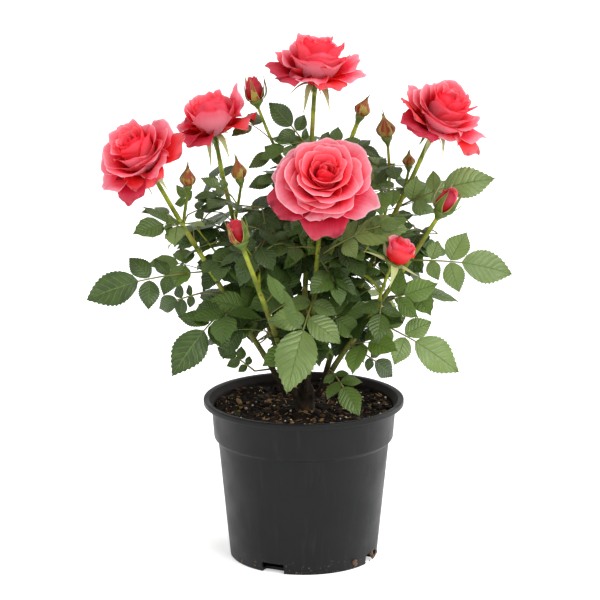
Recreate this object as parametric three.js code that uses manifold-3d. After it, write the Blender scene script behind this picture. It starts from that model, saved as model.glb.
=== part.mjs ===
// A patio rose bush with five open blooms and nine buds, in its two litre nursery pot.
// Millimetres, +Z up. The origin is the centre of the pot's flat underside, and the
// bush is looked at from -Y, so +X is the viewer's right.

import * as THREE from 'three';
import { mergeVertices } from 'three/addons/utils/BufferGeometryUtils.js';
import Module from 'manifold-3d';

// ---------------------------------------------------------------- driving dimensions

const GAP = 0.3;                 // clearance between neighbouring pieces
const GROWTH = 0.45;             // how far a cutter stands off an uneven surface to leave that gap

const POT = {
  rimRadius: 85, lipWidth: 6, lipHeight: 5, height: 137,
  collarTopRadius: 78, collarFootRadius: 75.8, collarHeight: 28, stepDrop: 3,
  bodyTopRadius: 72.4, footRadius: 62.5, wall: 2, floor: 2.5,
  notchWidth: 17, notchHeight: 5, notchDepth: 9, notches: 4, firstNotch: -22.5, sides: 38,
};
const SOIL = { below: 12, flatRadius: 24, rings: [60, 42], roughness: 1.6, sides: 22 };
const STOCK = { radius: 19, height: 25, lobes: 5, lobeDepth: 0.04, flareDepth: 0.1, sides: 18 };
const CANE = { seatRing: 11.5, seatSink: 9, baseRadius: 2.9, tipRadius: 1.8, step: 46, sides: 7 };
const STALK = { baseRadius: 1.9, tipRadius: 1.2, step: 26, sides: 6 };
const BEND = 0.36;               // share of a limb's reach that its end directions rule
const CUTTER_SIDES = 5;          // a coarse tube cuts the way of a limb through the foliage
const BUD = { hipSwell: 1.6, neck: 0.9, shoulder: 0.8, beakRadius: 1.6, pointRadius: 0.5 };

// Outer petals turn down as lobes, each a little longer and lower than the gap beside it.
const PETALS = { sides: 16, lobes: 4, lobeDepth: 0.06, lobeDrop: 0.05, dimple: 0.05 };

// Each bloom: where the stem meets it, which way it opens, how wide and how tall it is.
const BLOOMS = {
  top: { at: [9, 15, 398], axis: [0.05, -0.1, 1], radius: 41, height: 44 },
  right: { at: [106, -5, 362], axis: [0.36, -0.3, 0.87], radius: 40, height: 46 },
  front: { at: [15, -56, 324], axis: [0.03, -0.8, 0.62], radius: 46, height: 42 },
  left: { at: [-126, -24, 335], axis: [-0.42, -0.42, 0.8], radius: 40, height: 44 },
  upper_left: { at: [-74, 30, 352], axis: [-0.16, -0.1, 1], radius: 36, height: 43 },
};

// Canes rise from the stock. `turn` is the seat's angle on its top, in degrees from +X;
// `lean` is how far from upright the cane leaves it; a cane ends in a bloom or in a bud.
const CANES = {
  left: { turn: 196, lean: 34, bloom: 'left' },
  upper_left: { turn: 152, lean: 22, bloom: 'upper_left' },
  front_left: { turn: 239, lean: 26, bud: { at: [-49, -65, 281], way: [-9, 0, 27], radius: 9, length: 26 } },
  front: { turn: 282, lean: 20, bloom: 'front' },
  centre: { turn: 90, lean: 0, seat: 0, bloom: 'top' },
  right: { turn: 12, lean: 20, bloom: 'right' },
  right_low: { turn: 324, lean: 34, bud: { at: [110, -30, 299], way: [15, 0, 26], radius: 9, length: 28 } },
  back: { turn: 78, lean: 16, bud: { at: [45, 25, 369], way: [11, 0, 27], radius: 7.5, length: 28 } },
};

// Side stalks leave a cane at the height `from` and end in a bud.
const STALKS = {
  top_left: { cane: 'centre', from: 292, at: [-38, 20, 382], way: [-6, 0, 27], radius: 8, length: 27 },
  top_right: { cane: 'right', from: 258, at: [70, 10, 353], way: [-5, 0, 31], radius: 8.5, length: 31 },
  right_small: { cane: 'right', from: 290, at: [88, 18, 330], way: [0, 1, 20], radius: 4.5, length: 19 },
  right_open: { cane: 'right_low', from: 222, at: [70, -70, 266], way: [12, -4, 22], radius: 11, length: 27 },
  left_small: { cane: 'left', from: 288, at: [-96, -10, 316], way: [0, 0, 29], radius: 6.5, length: 28 },
  upper_left: { cane: 'upper_left', from: 282, at: [-52, -5, 321], way: [-5, 0, 29], radius: 7, length: 29 },
};

// Foliage stands in tiers round the canes: each tier is a ring of uneven masses, named
// round from +X, with half sizes along X, Y and Z.
const FOUR_SIDES = ['right', 'back', 'left', 'front'];
const SIX_SIDES = ['right', 'back_right', 'back_left', 'left', 'front_left', 'front_right'];
const TIERS = [
  { name: 'low', centre: [3, 2, 196], ring: [48, 40], sides: FOUR_SIDES, size: [31, 29, 28] },
  { name: 'middle', centre: [3, 7, 257], ring: [77, 52], sides: SIX_SIDES, size: [34, 31, 37] },
  { name: 'core', centre: [2, 4, 258], ring: [0, 0], sides: ['heart'], size: [32, 26, 34] },
  { name: 'upper', centre: [6, 26, 320], ring: [50, 34], sides: FOUR_SIDES, size: [31, 26, 29] },
];
const UNEVENNESS = 0.08;
const SEEDS_PER_TIER = 7;

// Outlying leaves: from a cane at a height, or from a point inside the foliage, to the
// tip of the end leaflet, with the way their faces look and the width across them.
const VIEWER = [0, -0.85, 0.5];
const SKY = [0, -0.3, 1];
const BACKWARD = [0, 0.8, 0.6];
const SPRAYS = {
  left_long: { cane: 'left', from: 252, to: [-181, -44, 236], face: VIEWER, width: 62 },
  left_low: { cane: 'left', from: 222, to: [-109, -68, 177], face: VIEWER, width: 58 },
  left_narrow: { cane: 'left', from: 244, to: [-126, 2, 214], face: VIEWER, width: 38 },
  left_high: { cane: 'left', from: 290, to: [-134, -26, 303], face: SKY, width: 42 },
  bottom_left: { cane: 'left', from: 182, to: [-77, -24, 161], face: VIEWER, width: 44 },
  front: { cane: 'front', from: 238, to: [-14, -104, 172], face: VIEWER, width: 74 },
  front_right: { cane: 'front', from: 262, to: [78, -62, 302], face: VIEWER, width: 40 },
  front_low: { cane: 'right_low', from: 230, to: [60, -76, 206], face: VIEWER, width: 40 },
  bottom_front: { cane: 'right_low', from: 166, to: [46, -62, 139], face: VIEWER, width: 40 },
  bottom_right: { cane: 'right_low', from: 190, to: [78, -12, 157], face: VIEWER, width: 34 },
  right_low: { cane: 'right_low', from: 214, to: [132, -46, 172], face: VIEWER, width: 60 },
  right_long: { cane: 'right_low', from: 264, to: [175, -40, 256], face: VIEWER, width: 62 },
  right_high: { cane: 'right', from: 298, to: [158, -10, 331], face: VIEWER, width: 40 },
  top_left: { cane: 'centre', from: 348, to: [-29, 15, 388], face: VIEWER, width: 38 },
  top_right: { cane: 'centre', from: 350, to: [69, 20, 335], face: VIEWER, width: 40 },
  back_right: { from: [56, 38, 262], to: [126, 78, 250], face: SKY, width: 58 },
  back_right_low: { from: [18, 38, 212], to: [84, 98, 180], face: BACKWARD, width: 54 },
  back: { from: [8, 54, 258], to: [14, 132, 232], face: BACKWARD, width: 60 },
  back_high: { from: [12, 60, 322], to: [26, 134, 340], face: SKY, width: 50 },
  back_left_low: { from: [-12, 38, 212], to: [-76, 100, 182], face: BACKWARD, width: 54 },
  back_left: { from: [-54, 38, 266], to: [-122, 80, 254], face: SKY, width: 58 },
};
// A rose leaf: half width of its stem, share of its length that the end leaflet takes, how
// wide leaflets are for their length, how high the leaf arches, and its leaflet pairs as
// shares of the stem's length and of the width.
const SPRAY = {
  thickness: 3.2, stem: 1.6, end: 0.46, leafletRatio: 0.62, arch: 0.2,
  pairs: [{ along: 0.5, span: 0.72 }, { along: 1, span: 1 }],
};

// ---------------------------------------------------------------- materials

const finish = (color, roughness) => new THREE.MeshStandardMaterial({ color, roughness, metalness: 0 });
const potPlastic = finish('#34363a', 0.5);
const soilMix = finish('#2e221a', 0.95);
const bark = finish('#4a3d27', 0.8);
const greenBark = finish('#6f7f3a', 0.6);
const leafGreen = finish('#465f2d', 0.55);
const petalCoral = finish('#e03c55', 0.6);

// ---------------------------------------------------------------- solids

const wasm = await Module();
wasm.setup();

const vec = (list) => new THREE.Vector3(...list);
const way = (list) => vec(list).normalize();
const rad = THREE.MathUtils.degToRad;

function solid(geometry) {
  const bare = geometry.clone();
  bare.deleteAttribute('normal');
  bare.deleteAttribute('uv');
  const merged = mergeVertices(bare, 1e-3);
  const corners = merged.getIndex().array;
  const triangles = [];
  for (let i = 0; i < corners.length; i += 3) {
    const [a, b, c] = corners.slice(i, i + 3);
    if (a !== b && b !== c && c !== a) triangles.push(a, b, c);
  }
  return new wasm.Manifold(new wasm.Mesh({
    numProp: 3,
    vertProperties: new Float32Array(merged.getAttribute('position').array),
    triVerts: new Uint32Array(triangles),
  }));
}

// The piece that is left when `cutters` are taken away; crumbs cut loose are dropped.
function carve(body, cutters) {
  const left = cutters.reduce((rest, cutter) => rest.subtract(cutter), body);
  const parts = left.decompose();
  parts.sort((a, b) => b.volume() - a.volume());
  return parts[0];
}

function piece(name, body, material) {
  const data = body.getMesh();
  const geometry = new THREE.BufferGeometry();
  geometry.setAttribute('position', new THREE.BufferAttribute(data.vertProperties, 3));
  geometry.setIndex(new THREE.BufferAttribute(data.triVerts, 1));
  geometry.computeVertexNormals();
  const mesh = new THREE.Mesh(geometry, material);
  mesh.name = name;
  return mesh;
}

// Moves every corner of a geometry by a rule.
function reshape(geometry, rule) {
  const place = geometry.getAttribute('position');
  const corner = new THREE.Vector3();
  for (let i = 0; i < place.count; i += 1) {
    const moved = rule(corner.fromBufferAttribute(place, i).clone());
    place.setXYZ(i, moved.x, moved.y, moved.z);
  }
  return geometry;
}

// A solid of revolution about +Z from [radius, height] pairs, its ends on the axis.
function spin(profile, sides) {
  const points = profile.map(([radius, height]) => new THREE.Vector2(radius, height));
  return new THREE.LatheGeometry(points, sides).rotateX(Math.PI / 2);
}

// ---------------------------------------------------------------- pot and soil

function innerWall() {
  const p = POT;
  const collarTop = p.height - p.lipHeight;
  const collarFoot = collarTop - p.collarHeight;
  return [
    [p.footRadius - p.wall, p.floor],
    [p.bodyTopRadius - p.wall, collarFoot - p.stepDrop],
    [p.collarFootRadius - p.wall, collarFoot],
    [p.collarTopRadius - p.wall, collarTop],
    [p.rimRadius - p.lipWidth, p.height],
  ];
}

function pot() {
  const p = POT;
  const collarTop = p.height - p.lipHeight;
  const collarFoot = collarTop - p.collarHeight;
  const softening = p.lipWidth / 4;
  const shell = solid(spin([
    [0, 0], [p.footRadius, 0],
    [p.bodyTopRadius, collarFoot - p.stepDrop], [p.collarFootRadius, collarFoot],
    [p.collarTopRadius, collarTop], [p.rimRadius, collarTop],
    [p.rimRadius, p.height - softening], [p.rimRadius - softening, p.height],
    ...innerWall().reverse(), [0, p.floor],
  ], p.sides));
  const notches = Array.from({ length: p.notches }, (_, i) => {
    const block = new THREE.BoxGeometry(p.notchDepth * 2, p.notchWidth, p.notchHeight * 2);
    block.translate(p.footRadius, 0, 0);
    block.rotateZ(rad(p.firstNotch - 90 + i * 360 / p.notches));
    return solid(block);
  });
  return carve(shell, notches);
}

const soilTop = POT.height - SOIL.below;

function soil() {
  const wall = innerWall();
  const [topRadius] = wall[2];
  const sides = wall.slice(0, 3).map(([radius, height]) => [radius - GAP, height + GAP]);
  const rings = [topRadius, ...SOIL.rings, SOIL.flatRadius].map((radius) => [radius, soilTop]);
  const plug = spin([[0, POT.floor + GAP], ...sides, ...rings, [0, soilTop]], SOIL.sides);
  return solid(reshape(plug, (corner) => {
    const isTop = corner.z > soilTop - GAP;
    const isRough = Math.hypot(corner.x, corner.y) > SOIL.flatRadius + GAP;
    if (isTop && isRough) corner.z += SOIL.roughness * Math.sin(corner.x / 4) * Math.cos(corner.y / 3 + 1);
    return corner;
  }));
}

// ---------------------------------------------------------------- wood

// Half outline of the stock in shares of its radius and height: root flare, waist, knuckle.
const STOCK_OUTLINE = [[1, 0], [0.86, 0.22], [0.78, 0.5], [0.8, 0.76], [0.55, 0.97]];

function stock(growth = 0) {
  const { radius, height, lobes, lobeDepth, flareDepth, sides } = STOCK;
  const rings = STOCK_OUTLINE.map(([r, h]) => [r * radius + growth, h * (height + growth)]);
  const lumps = spin([[0, 0], ...rings, [0, height + growth]], sides);
  return solid(reshape(lumps, (corner) => {
    const depth = lobeDepth + flareDepth * (1 - corner.z / height);
    const lobe = 1 + depth * Math.cos(lobes * Math.atan2(corner.y, corner.x));
    return corner.set(corner.x * lobe, corner.y * lobe, corner.z + soilTop);
  }));
}

// A limb is a Bezier curve from a foot to a head, with the way it leaves and arrives.
function limbPath(foot, footWay, head, headWay) {
  const reach = foot.distanceTo(head) * BEND;
  return {
    head, headWay,
    curve: new THREE.CubicBezierCurve3(foot, foot.clone().addScaledVector(footWay, reach),
      head.clone().addScaledVector(headWay, -reach), head),
  };
}

// [distance along the limb, radius] from the foot to the head, and on over its bud.
function limbOutline(length, size, bud) {
  const steps = Math.round(length / size.step);
  const wood = Array.from({ length: steps + 1 }, (_, i) => {
    const part = i / steps;
    return [part * length, THREE.MathUtils.lerp(size.baseRadius, size.tipRadius, part ** 0.7)];
  });
  if (!bud) return wood;
  const hip = size.tipRadius + BUD.hipSwell;
  const rings = [
    [0.13, hip], [0.26, hip * BUD.neck], [0.45, bud.radius], [0.68, bud.radius * BUD.shoulder],
    [0.88, BUD.beakRadius], [1, BUD.pointRadius],
  ];
  return [...wood, ...rings.map(([part, radius]) => [length + part * bud.length, radius])];
}

// A limb is turned straight as a solid of revolution, then bent along its path.
function limb({ curve, head, headWay }, size, bud, growth = 0, sides = size.sides) {
  const length = curve.getLength();
  const outline = limbOutline(length, size, bud);
  const end = outline[outline.length - 1][0];
  const profile = outline.map(([along, radius]) => [radius + growth, along]);
  profile[0][1] -= growth;
  profile[profile.length - 1][1] += growth;
  const straight = spin([[0, -growth], ...profile, [0, end + growth]], sides);
  return solid(reshape(straight, (corner) => {
    const part = THREE.MathUtils.clamp(corner.z / length, 0, 1);
    const tangent = curve.getTangentAt(part);
    const side = new THREE.Vector3(1, 0, 0).cross(tangent).normalize();
    const across = tangent.clone().cross(side);
    const centre = corner.z > length
      ? head.clone().addScaledVector(headWay, corner.z - length)
      : curve.getPointAt(part).addScaledVector(tangent, corner.z < 0 ? corner.z : 0);
    return centre.addScaledVector(side, corner.x).addScaledVector(across, corner.y);
  }));
}

// The tube that clears a limb's way: its flats stand off the limb by the gap.
function limbCutter(path, size, bud) {
  const stretch = 1 / Math.cos(Math.PI / CUTTER_SIDES);
  const wide = { ...size, baseRadius: size.baseRadius * stretch, tipRadius: size.tipRadius * stretch };
  const wideBud = bud && { ...bud, radius: bud.radius * stretch };
  return limb(path, wide, wideBud, GAP * stretch, CUTTER_SIDES);
}

function canePath({ turn, lean, seat = CANE.seatRing, bloom, bud }) {
  const outward = new THREE.Vector3(Math.cos(rad(turn)), Math.sin(rad(turn)), 0);
  const foot = outward.clone().multiplyScalar(seat);
  foot.z = soilTop + STOCK.height - CANE.seatSink;
  const up = new THREE.Vector3(0, 0, Math.cos(rad(lean))).addScaledVector(outward, Math.sin(rad(lean)));
  if (bloom) return limbPath(foot, up, vec(BLOOMS[bloom].at), way(BLOOMS[bloom].axis));
  return limbPath(foot, up, vec(bud.at), way(bud.way));
}

const canePaths = Object.fromEntries(Object.entries(CANES).map(([name, cane]) => [name, canePath(cane)]));

// The point of a rising curve that is at a height, and the curve's way there.
function atHeight(curve, height) {
  let low = 0;
  let high = 1;
  for (let i = 0; i < 30; i += 1) {
    const middle = (low + high) / 2;
    if (curve.getPointAt(middle).z < height) low = middle;
    else high = middle;
  }
  return { point: curve.getPointAt(low), tangent: curve.getTangentAt(low) };
}

function stalkPath(stalk) {
  const { point, tangent } = atHeight(canePaths[stalk.cane].curve, stalk.from);
  const head = vec(stalk.at);
  const leave = head.clone().sub(point).normalize().add(tangent).normalize();
  return limbPath(point, leave, head, way(stalk.way));
}

// ---------------------------------------------------------------- blooms

// Half outline of an open bloom in shares of its radius and height: the cup widens to
// the turned-down outer petals and closes over the dense heart.
const BLOOM_OUTLINE = [
  [0.14, 0], [0.62, 0.08], [1, 0.26], [0.86, 0.46], [0.76, 0.74], [0.58, 0.94], [0.3, 1],
];

function bloom({ at, axis, radius, height }, growth = 0) {
  const rings = BLOOM_OUTLINE.map(([r, h]) => [r * radius + growth, h * height]);
  rings[0][1] -= growth;
  rings[rings.length - 1][1] += growth;
  const foot = [0, rings[0][1]];
  const heart = [0, (1 - PETALS.dimple) * height + growth];
  const cup = spin([foot, ...rings, heart], PETALS.sides);
  const turned = new THREE.Quaternion().setFromUnitVectors(new THREE.Vector3(0, 0, 1), way(axis));
  return solid(reshape(cup, (corner) => {
    const out = Math.hypot(corner.x, corner.y) / radius;
    const wave = Math.cos(PETALS.lobes * Math.atan2(corner.y, corner.x));
    const lobe = 1 + PETALS.lobeDepth * out ** 4 * (wave - 1);
    const drop = PETALS.lobeDrop * height * out ** 6 * wave;
    corner.set(corner.x * lobe, corner.y * lobe, corner.z - drop);
    return corner.applyQuaternion(turned).add(vec(at));
  }));
}

// ---------------------------------------------------------------- foliage

// Smooth bumps over a sphere, different for each seed, between -3 and 3.
function bumps({ x, y, z }, seed) {
  return Math.sin(3 * x + 2 * z + 1.7 * seed) + Math.sin(4 * y - 2 * x + 2.9 * seed)
    + Math.sin(4 * z + 3 * y + 4.1 * seed);
}

function mass({ centre, size, seed }, growth = 0) {
  const ball = new THREE.IcosahedronGeometry(1, 1);
  return solid(reshape(ball, (corner) => {
    const direction = corner.clone().normalize();
    const swell = 1 + UNEVENNESS * bumps(direction, seed);
    return corner.multiply(size).multiplyScalar(swell).addScaledVector(direction, growth).add(centre);
  }));
}

function tierMasses() {
  return TIERS.flatMap((tier, level) => tier.sides.map((side, i) => {
    const turn = i * 2 * Math.PI / tier.sides.length;
    const centre = vec(tier.centre);
    centre.x += tier.ring[0] * Math.cos(turn);
    centre.y += tier.ring[1] * Math.sin(turn);
    return {
      name: `foliage_${tier.name}_${side}`,
      centre, size: vec(tier.size), seed: level * SEEDS_PER_TIER + i,
    };
  }));
}

// Outline of a rose leaf laid along +X: a stem with pairs of leaflets and one at its end.
function leafOutline(length, width) {
  const { stem, end, leafletRatio, pairs } = SPRAY;
  const joint = length * (1 - end);
  const edge = [[0, stem]];
  for (const { along, span } of pairs) {
    const root = joint * along;
    const reach = span * width / 2;
    const half = reach * leafletRatio / 2;
    edge.push([root - half, 2 * stem], [root - 0.7 * half, 0.62 * reach], [root + 0.5 * half, reach]);
  }
  const leaflet = length * end;
  const half = leaflet * leafletRatio / 2;
  edge.push([joint + 0.08 * leaflet, stem], [joint + 0.42 * leaflet, half]);
  const mirrored = [...edge].reverse().map(([along, across]) => [along, -across]);
  const outline = [...edge, [length, 0], ...mirrored];
  return new THREE.Shape(outline.map(([along, across]) => new THREE.Vector2(along, across)));
}

function spray({ cane, from, to, face, width }) {
  const start = cane ? atHeight(canePaths[cane].curve, from).point : vec(from);
  const along = vec(to).sub(start);
  const length = along.length();
  along.normalize();
  const up = vec(face).addScaledVector(along, -vec(face).dot(along)).normalize();
  const across = up.clone().cross(along);
  const settings = { depth: SPRAY.thickness, steps: 1, bevelEnabled: false };
  const blade = new THREE.ExtrudeGeometry(leafOutline(length, width), settings);
  return solid(reshape(blade, (corner) => {
    const part = corner.x / length;
    const lift = corner.z - SPRAY.thickness / 2 + SPRAY.arch * length * part * (1 - part);
    return start.clone().addScaledVector(along, corner.x).addScaledVector(across, corner.y)
      .addScaledVector(up, lift);
  }));
}

// ---------------------------------------------------------------- the plant, piece by piece

// Each kind is cut clear of the kinds before it, so wood runs whole through the foliage.
const group = new THREE.Group();
group.add(piece('pot', pot(), potPlastic));
group.add(piece('soil', soil(), soilMix));
group.add(piece('rootstock', stock(), bark));
const cutters = [stock(GAP)];

for (const [name, cane] of Object.entries(CANES)) {
  group.add(piece(`cane_${name}`, carve(limb(canePaths[name], CANE, cane.bud), cutters), greenBark));
}
for (const [name, cane] of Object.entries(CANES)) cutters.push(limbCutter(canePaths[name], CANE, cane.bud));

for (const [name, stalk] of Object.entries(STALKS)) {
  const path = stalkPath(stalk);
  group.add(piece(`stalk_${name}`, carve(limb(path, STALK, stalk), cutters), greenBark));
  cutters.push(limbCutter(path, STALK, stalk));
}

for (const [name, shape] of Object.entries(BLOOMS)) {
  group.add(piece(`bloom_${name}`, carve(bloom(shape), cutters), petalCoral));
  cutters.push(bloom(shape, GROWTH));
}

for (const shape of tierMasses()) {
  group.add(piece(shape.name, carve(mass(shape), cutters), leafGreen));
  cutters.push(mass(shape, GROWTH));
}

for (const [name, shape] of Object.entries(SPRAYS)) {
  group.add(piece(`spray_${name}`, carve(spray(shape), cutters), leafGreen));
}

export default group;
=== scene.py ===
"""Finished surfaces for a patio rose bush in its nursery pot.

The frame holds the bush at its real size: the pot, the soil, the limbs, and plain solids
for the blooms, the leaf sprays and the masses of foliage. Each operator below reads its
places from those solids and grows the real surface there: plastic, potting mix, bark,
petals, sepals and leaves. Lengths are metres and +Z is up.
"""

import math
import random

import bmesh
import bpy
import numpy as np
from bpy.props import FloatProperty, FloatVectorProperty, IntProperty, PointerProperty
from mathutils import Matrix, Vector, noise


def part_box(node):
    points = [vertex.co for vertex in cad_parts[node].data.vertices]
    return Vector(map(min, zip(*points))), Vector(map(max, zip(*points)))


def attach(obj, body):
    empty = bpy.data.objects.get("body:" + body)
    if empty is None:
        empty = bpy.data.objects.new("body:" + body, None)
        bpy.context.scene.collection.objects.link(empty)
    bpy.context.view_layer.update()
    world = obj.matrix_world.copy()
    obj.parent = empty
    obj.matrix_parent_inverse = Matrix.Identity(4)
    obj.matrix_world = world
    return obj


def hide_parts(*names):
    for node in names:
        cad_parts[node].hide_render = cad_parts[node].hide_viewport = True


bl_info = {
    "name": "Patio Rose Bush",
    "version": (1, 0, 0),
    "blender": (4, 5, 0),
    "location": "3D View > Sidebar > Rose Bush",
    "description": "Grows petals, leaves, bark, soil and a nursery pot on a rose bush's frame",
    "category": "Add Mesh",
}

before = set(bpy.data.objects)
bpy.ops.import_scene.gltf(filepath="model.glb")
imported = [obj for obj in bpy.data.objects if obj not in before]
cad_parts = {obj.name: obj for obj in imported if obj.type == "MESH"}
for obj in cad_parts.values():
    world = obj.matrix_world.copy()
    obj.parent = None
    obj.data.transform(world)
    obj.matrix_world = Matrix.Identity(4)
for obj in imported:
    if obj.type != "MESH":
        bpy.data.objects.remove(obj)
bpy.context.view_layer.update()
MM = 0.001
GOLDEN = math.radians(137.508)   # the turn between one petal or leaf and the next
BLADE = "Blade"                  # UV map that runs across (U) and along (V) a petal, leaf or limb


# ---------------------------------------------------------------- settings


def paint(tint):
    """A colour setting from six hex digits."""
    shares = [int(tint[i:i + 2], 16) / 255 for i in (0, 2, 4)]
    return tuple(s / 12.92 if s <= 0.04045 else ((s + 0.055) / 1.055) ** 2.4 for s in shares)


def colour(name, tint, description):
    return FloatVectorProperty(
        name=name, description=description, subtype="COLOR", size=3, min=0, max=1, default=paint(tint)
    )


def length(name, millimetres, description):
    return FloatProperty(
        name=name, description=description, unit="LENGTH", min=0, default=millimetres * MM
    )


def share(name, value, description):
    return FloatProperty(name=name, description=description, min=0, default=value)


class PotSettings(bpy.types.PropertyGroup):
    plastic: colour("Plastic", "08090a", "Moulded plastic of the pot")
    scuffed: colour("Scuffed plastic", "1e1f21", "Plastic where it has been rubbed")
    dried_mud: colour("Dried mud", "5f4d3c", "Mud that has splashed and dried on the foot")
    lip_width: length("Lip width", 4.2, "How far the lip reaches in from the rim")
    lip_height: length("Lip height", 5, "Height of the lip")
    collar_height: length("Collar height", 28, "Height of the collar under the lip")
    collar_top: length("Collar top radius", 78, "Radius of the collar under the lip")
    collar_foot: length("Collar foot radius", 75.8, "Radius at the foot of the collar")
    step_drop: length("Step", 3, "Height of the step under the collar")
    body_top: length("Body top radius", 72.4, "Radius of the body under the step")
    foot: length("Foot radius", 62.5, "Radius of the body where it stands")
    wall: length("Wall", 2, "Thickness of the wall")
    floor: length("Floor", 2.5, "Thickness of the floor")
    rounding: length("Rounding", 0.9, "Radius of the moulded edges")
    notch_width: length("Notch width", 20, "Width of a drain notch")
    notch_height: length("Notch height", 8.5, "Height of a drain notch")
    notch_depth: length("Notch depth", 9, "Depth of a drain notch")
    notches: IntProperty(name="Notches", description="Drain notches round the foot", default=4, min=0)
    first_notch: FloatProperty(
        name="First notch", description="Turn of the first notch from +X", subtype="ANGLE",
        default=math.radians(-114.5),
    )


class SoilSettings(bpy.types.PropertyGroup):
    moist: colour("Moist mix", "0e0906", "Damp potting mix")
    dry: colour("Dry mix", "2c2016", "Dry crumbs of potting mix")
    dark_chip: colour("Dark chips", "170e08", "Weathered bark chips")
    red_chip: colour("Red chips", "462f1c", "Fresh bark chips")
    tan_chip: colour("Pale chips", "84663f", "Split wood chips")
    perlite: colour("Perlite", "c2b8a6", "Grains of perlite")
    fibre: colour("Fibres", "a08257", "Straws and root fibres in the mix")
    moss: colour("Moss", "5f6b25", "Moss near the wall")
    roughness: length("Unevenness", 2.4, "How far the top of the mix rises and falls")
    chips: IntProperty(name="Chips", description="Bark chips on top of the mix", default=1250, min=0)
    grains: IntProperty(name="Grains", description="Grains of perlite", default=60, min=0)
    fibres: IntProperty(name="Fibres", description="Straws and fibres on top of the mix", default=240, min=0)


class WoodSettings(bpy.types.PropertyGroup):
    old_wood: colour("Old wood", "150f08", "Corky bark at the foot of the canes")
    worn_wood: colour("Worn wood", "302514", "Ridges of the old bark")
    green: colour("Green bark", "5d6b0e", "Young bark")
    sunlit: colour("Sunlit bark", "8f9a2a", "Young bark on the bright side")
    blush: colour("Blush", "7c4a2a", "Red-brown tint of the young bark")
    prickle: colour("Prickles", "8a5a3a", "Prickles on the canes")
    old_height: length("Height of old wood", 168, "Where corky bark gives way to green bark")
    relief: share("Relief", 0.10, "Height of the bark's ridges as a share of the radius")
    prickle_length: length("Prickle length", 3.0, "Length of a prickle")
    prickle_gap: length("Prickle gap", 13, "Way along the cane from one prickle to the next")


class BloomSettings(bpy.types.PropertyGroup):
    throat: colour("Throat", "e8b070", "Pale claw at a petal's base")
    heart: colour("Heart", "ff4560", "Furled petals at the heart")
    cup: colour("Cup", "fc3450", "Petals of the cup")
    outer: colour("Outer cup", "f23a5c", "Petals round the outside of the cup")
    guard: colour("Guard", "f2486a", "Outer petals")
    crimson: colour("Crimson", "d01a42", "Aged outer petals")
    flame: colour("Flame", "f02c34", "Outer petals that glow orange-red")
    bud_petal: colour("Bud petals", "d8182e", "Petals that show between a bud's sepals")
    back: colour("Outside", "fab2c2", "Outer face of a petal")
    rim: colour("Rim", "ffd2de", "Thin rim of a petal")
    spent: colour("Spent tip", "8f1c3c", "Bruised tip of a petal")
    sepal: colour("Sepals", "5f7030", "Sepals under a bloom")
    sepal_edge: colour("Sepal edges", "b6bb84", "Downy edges of a sepal")
    bud_sepal: colour("Bud sepals", "8f8030", "Sepals that still close a bud")
    bud_blush: colour("Bud blush", "7f2c14", "Red-brown side of a closed bud")
    hip: colour("Hip", "4e6010", "Hip under a bloom or a bud")


class LeafSettings(bpy.types.PropertyGroup):
    # The greens run from painted shade to painted light: the masses of foliage and the sprays take the deep
    # and dark greens inside, below and on the bush's left, and the brighter greens outside, above and on its
    # right, where the light falls. The leaves on the canes pick among them at random.
    deep: colour("Deep green", "27380f", "Leaves in the heart of the bush")
    dark: colour("Dark green", "344a1a", "Older leaves")
    middle: colour("Middle green", "425a20", "Grown leaves")
    fresh: colour("Fresh green", "566f2a", "Younger leaves")
    bright: colour("Bright green", "6d8344", "Leaves that the light comes through")
    pale: colour("Pale green", "8a9a58", "Leaves that show their underside")
    vein: colour("Veins", "9aab66", "Midrib and side veins")
    leaf_stalk: colour("Leaf stalks", "6c6424", "Stalks of the leaves")
    leaves_per_mass: IntProperty(
        name="Leaves in a mass", description="Compound leaves on each mass of foliage", default=14, min=1
    )
    inner_leaves: IntProperty(
        name="Inner leaves", description="Compound leaves inside each mass", default=6, min=0
    )
    leaf_length: length("Leaf length", 52, "Usual length of a compound leaf")
    leaf_width: length("Leaf width", 52, "Usual width of a compound leaf")
    joint_gap: length("Joint gap", 17, "Way along a cane from one leaf to the next")
    bare_tip: length("Bare tip", 38, "How much of a cane stands bare under its bloom or bud")
    pairs_of_veins: share("Veins", 8, "Pairs of side veins in a leaflet")


class StageSettings(bpy.types.PropertyGroup):
    lens: FloatProperty(name="Lens", description="Focal length", subtype="DISTANCE_CAMERA", default=178.8)
    distance: length("Distance", 2500, "From the camera to the middle of the bush")
    elevation: FloatProperty(
        name="Elevation", description="Height of the camera above the level", subtype="ANGLE",
        default=math.radians(13.8),
    )
    aim_height: length("Aim height", 221.7, "Height that the camera looks at")
    aim_side: FloatProperty(
        name="Aim side", description="How far along X the camera stands and looks", unit="LENGTH",
        default=-3.1 * MM,
    )
    floor_colour: colour("Floor", "fbfbfb", "Paper that the pot stands on")
    floor_size: length("Floor size", 14000, "Side of the paper")
    sky: share("Sky light", 0.88, "Strength of the even white light")
    sun: share("Key light", 1.9, "Strength of the soft key light")
    side: share("Side light", 1.5, "Strength of the soft light from the right")


# ---------------------------------------------------------------- mesh tools


def random_turn(seed, spread):
    """A repeatable number from -spread to spread."""
    return (random.Random(seed).random() * 2 - 1) * spread


def blend(first, second, part):
    return first + (second - first) * part


def blend_tints(first, second, part):
    return tuple(blend(a, b, part) for a, b in zip(first, second))


def ease(value, low, high):
    """0 below low, 1 above high, and a smooth step between."""
    part = min(max((value - low) / (high - low), 0), 1)
    return part * part * (3 - 2 * part)


def new_mesh():
    bm = bmesh.new()
    bm.loops.layers.uv.new(BLADE)
    return bm


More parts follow.
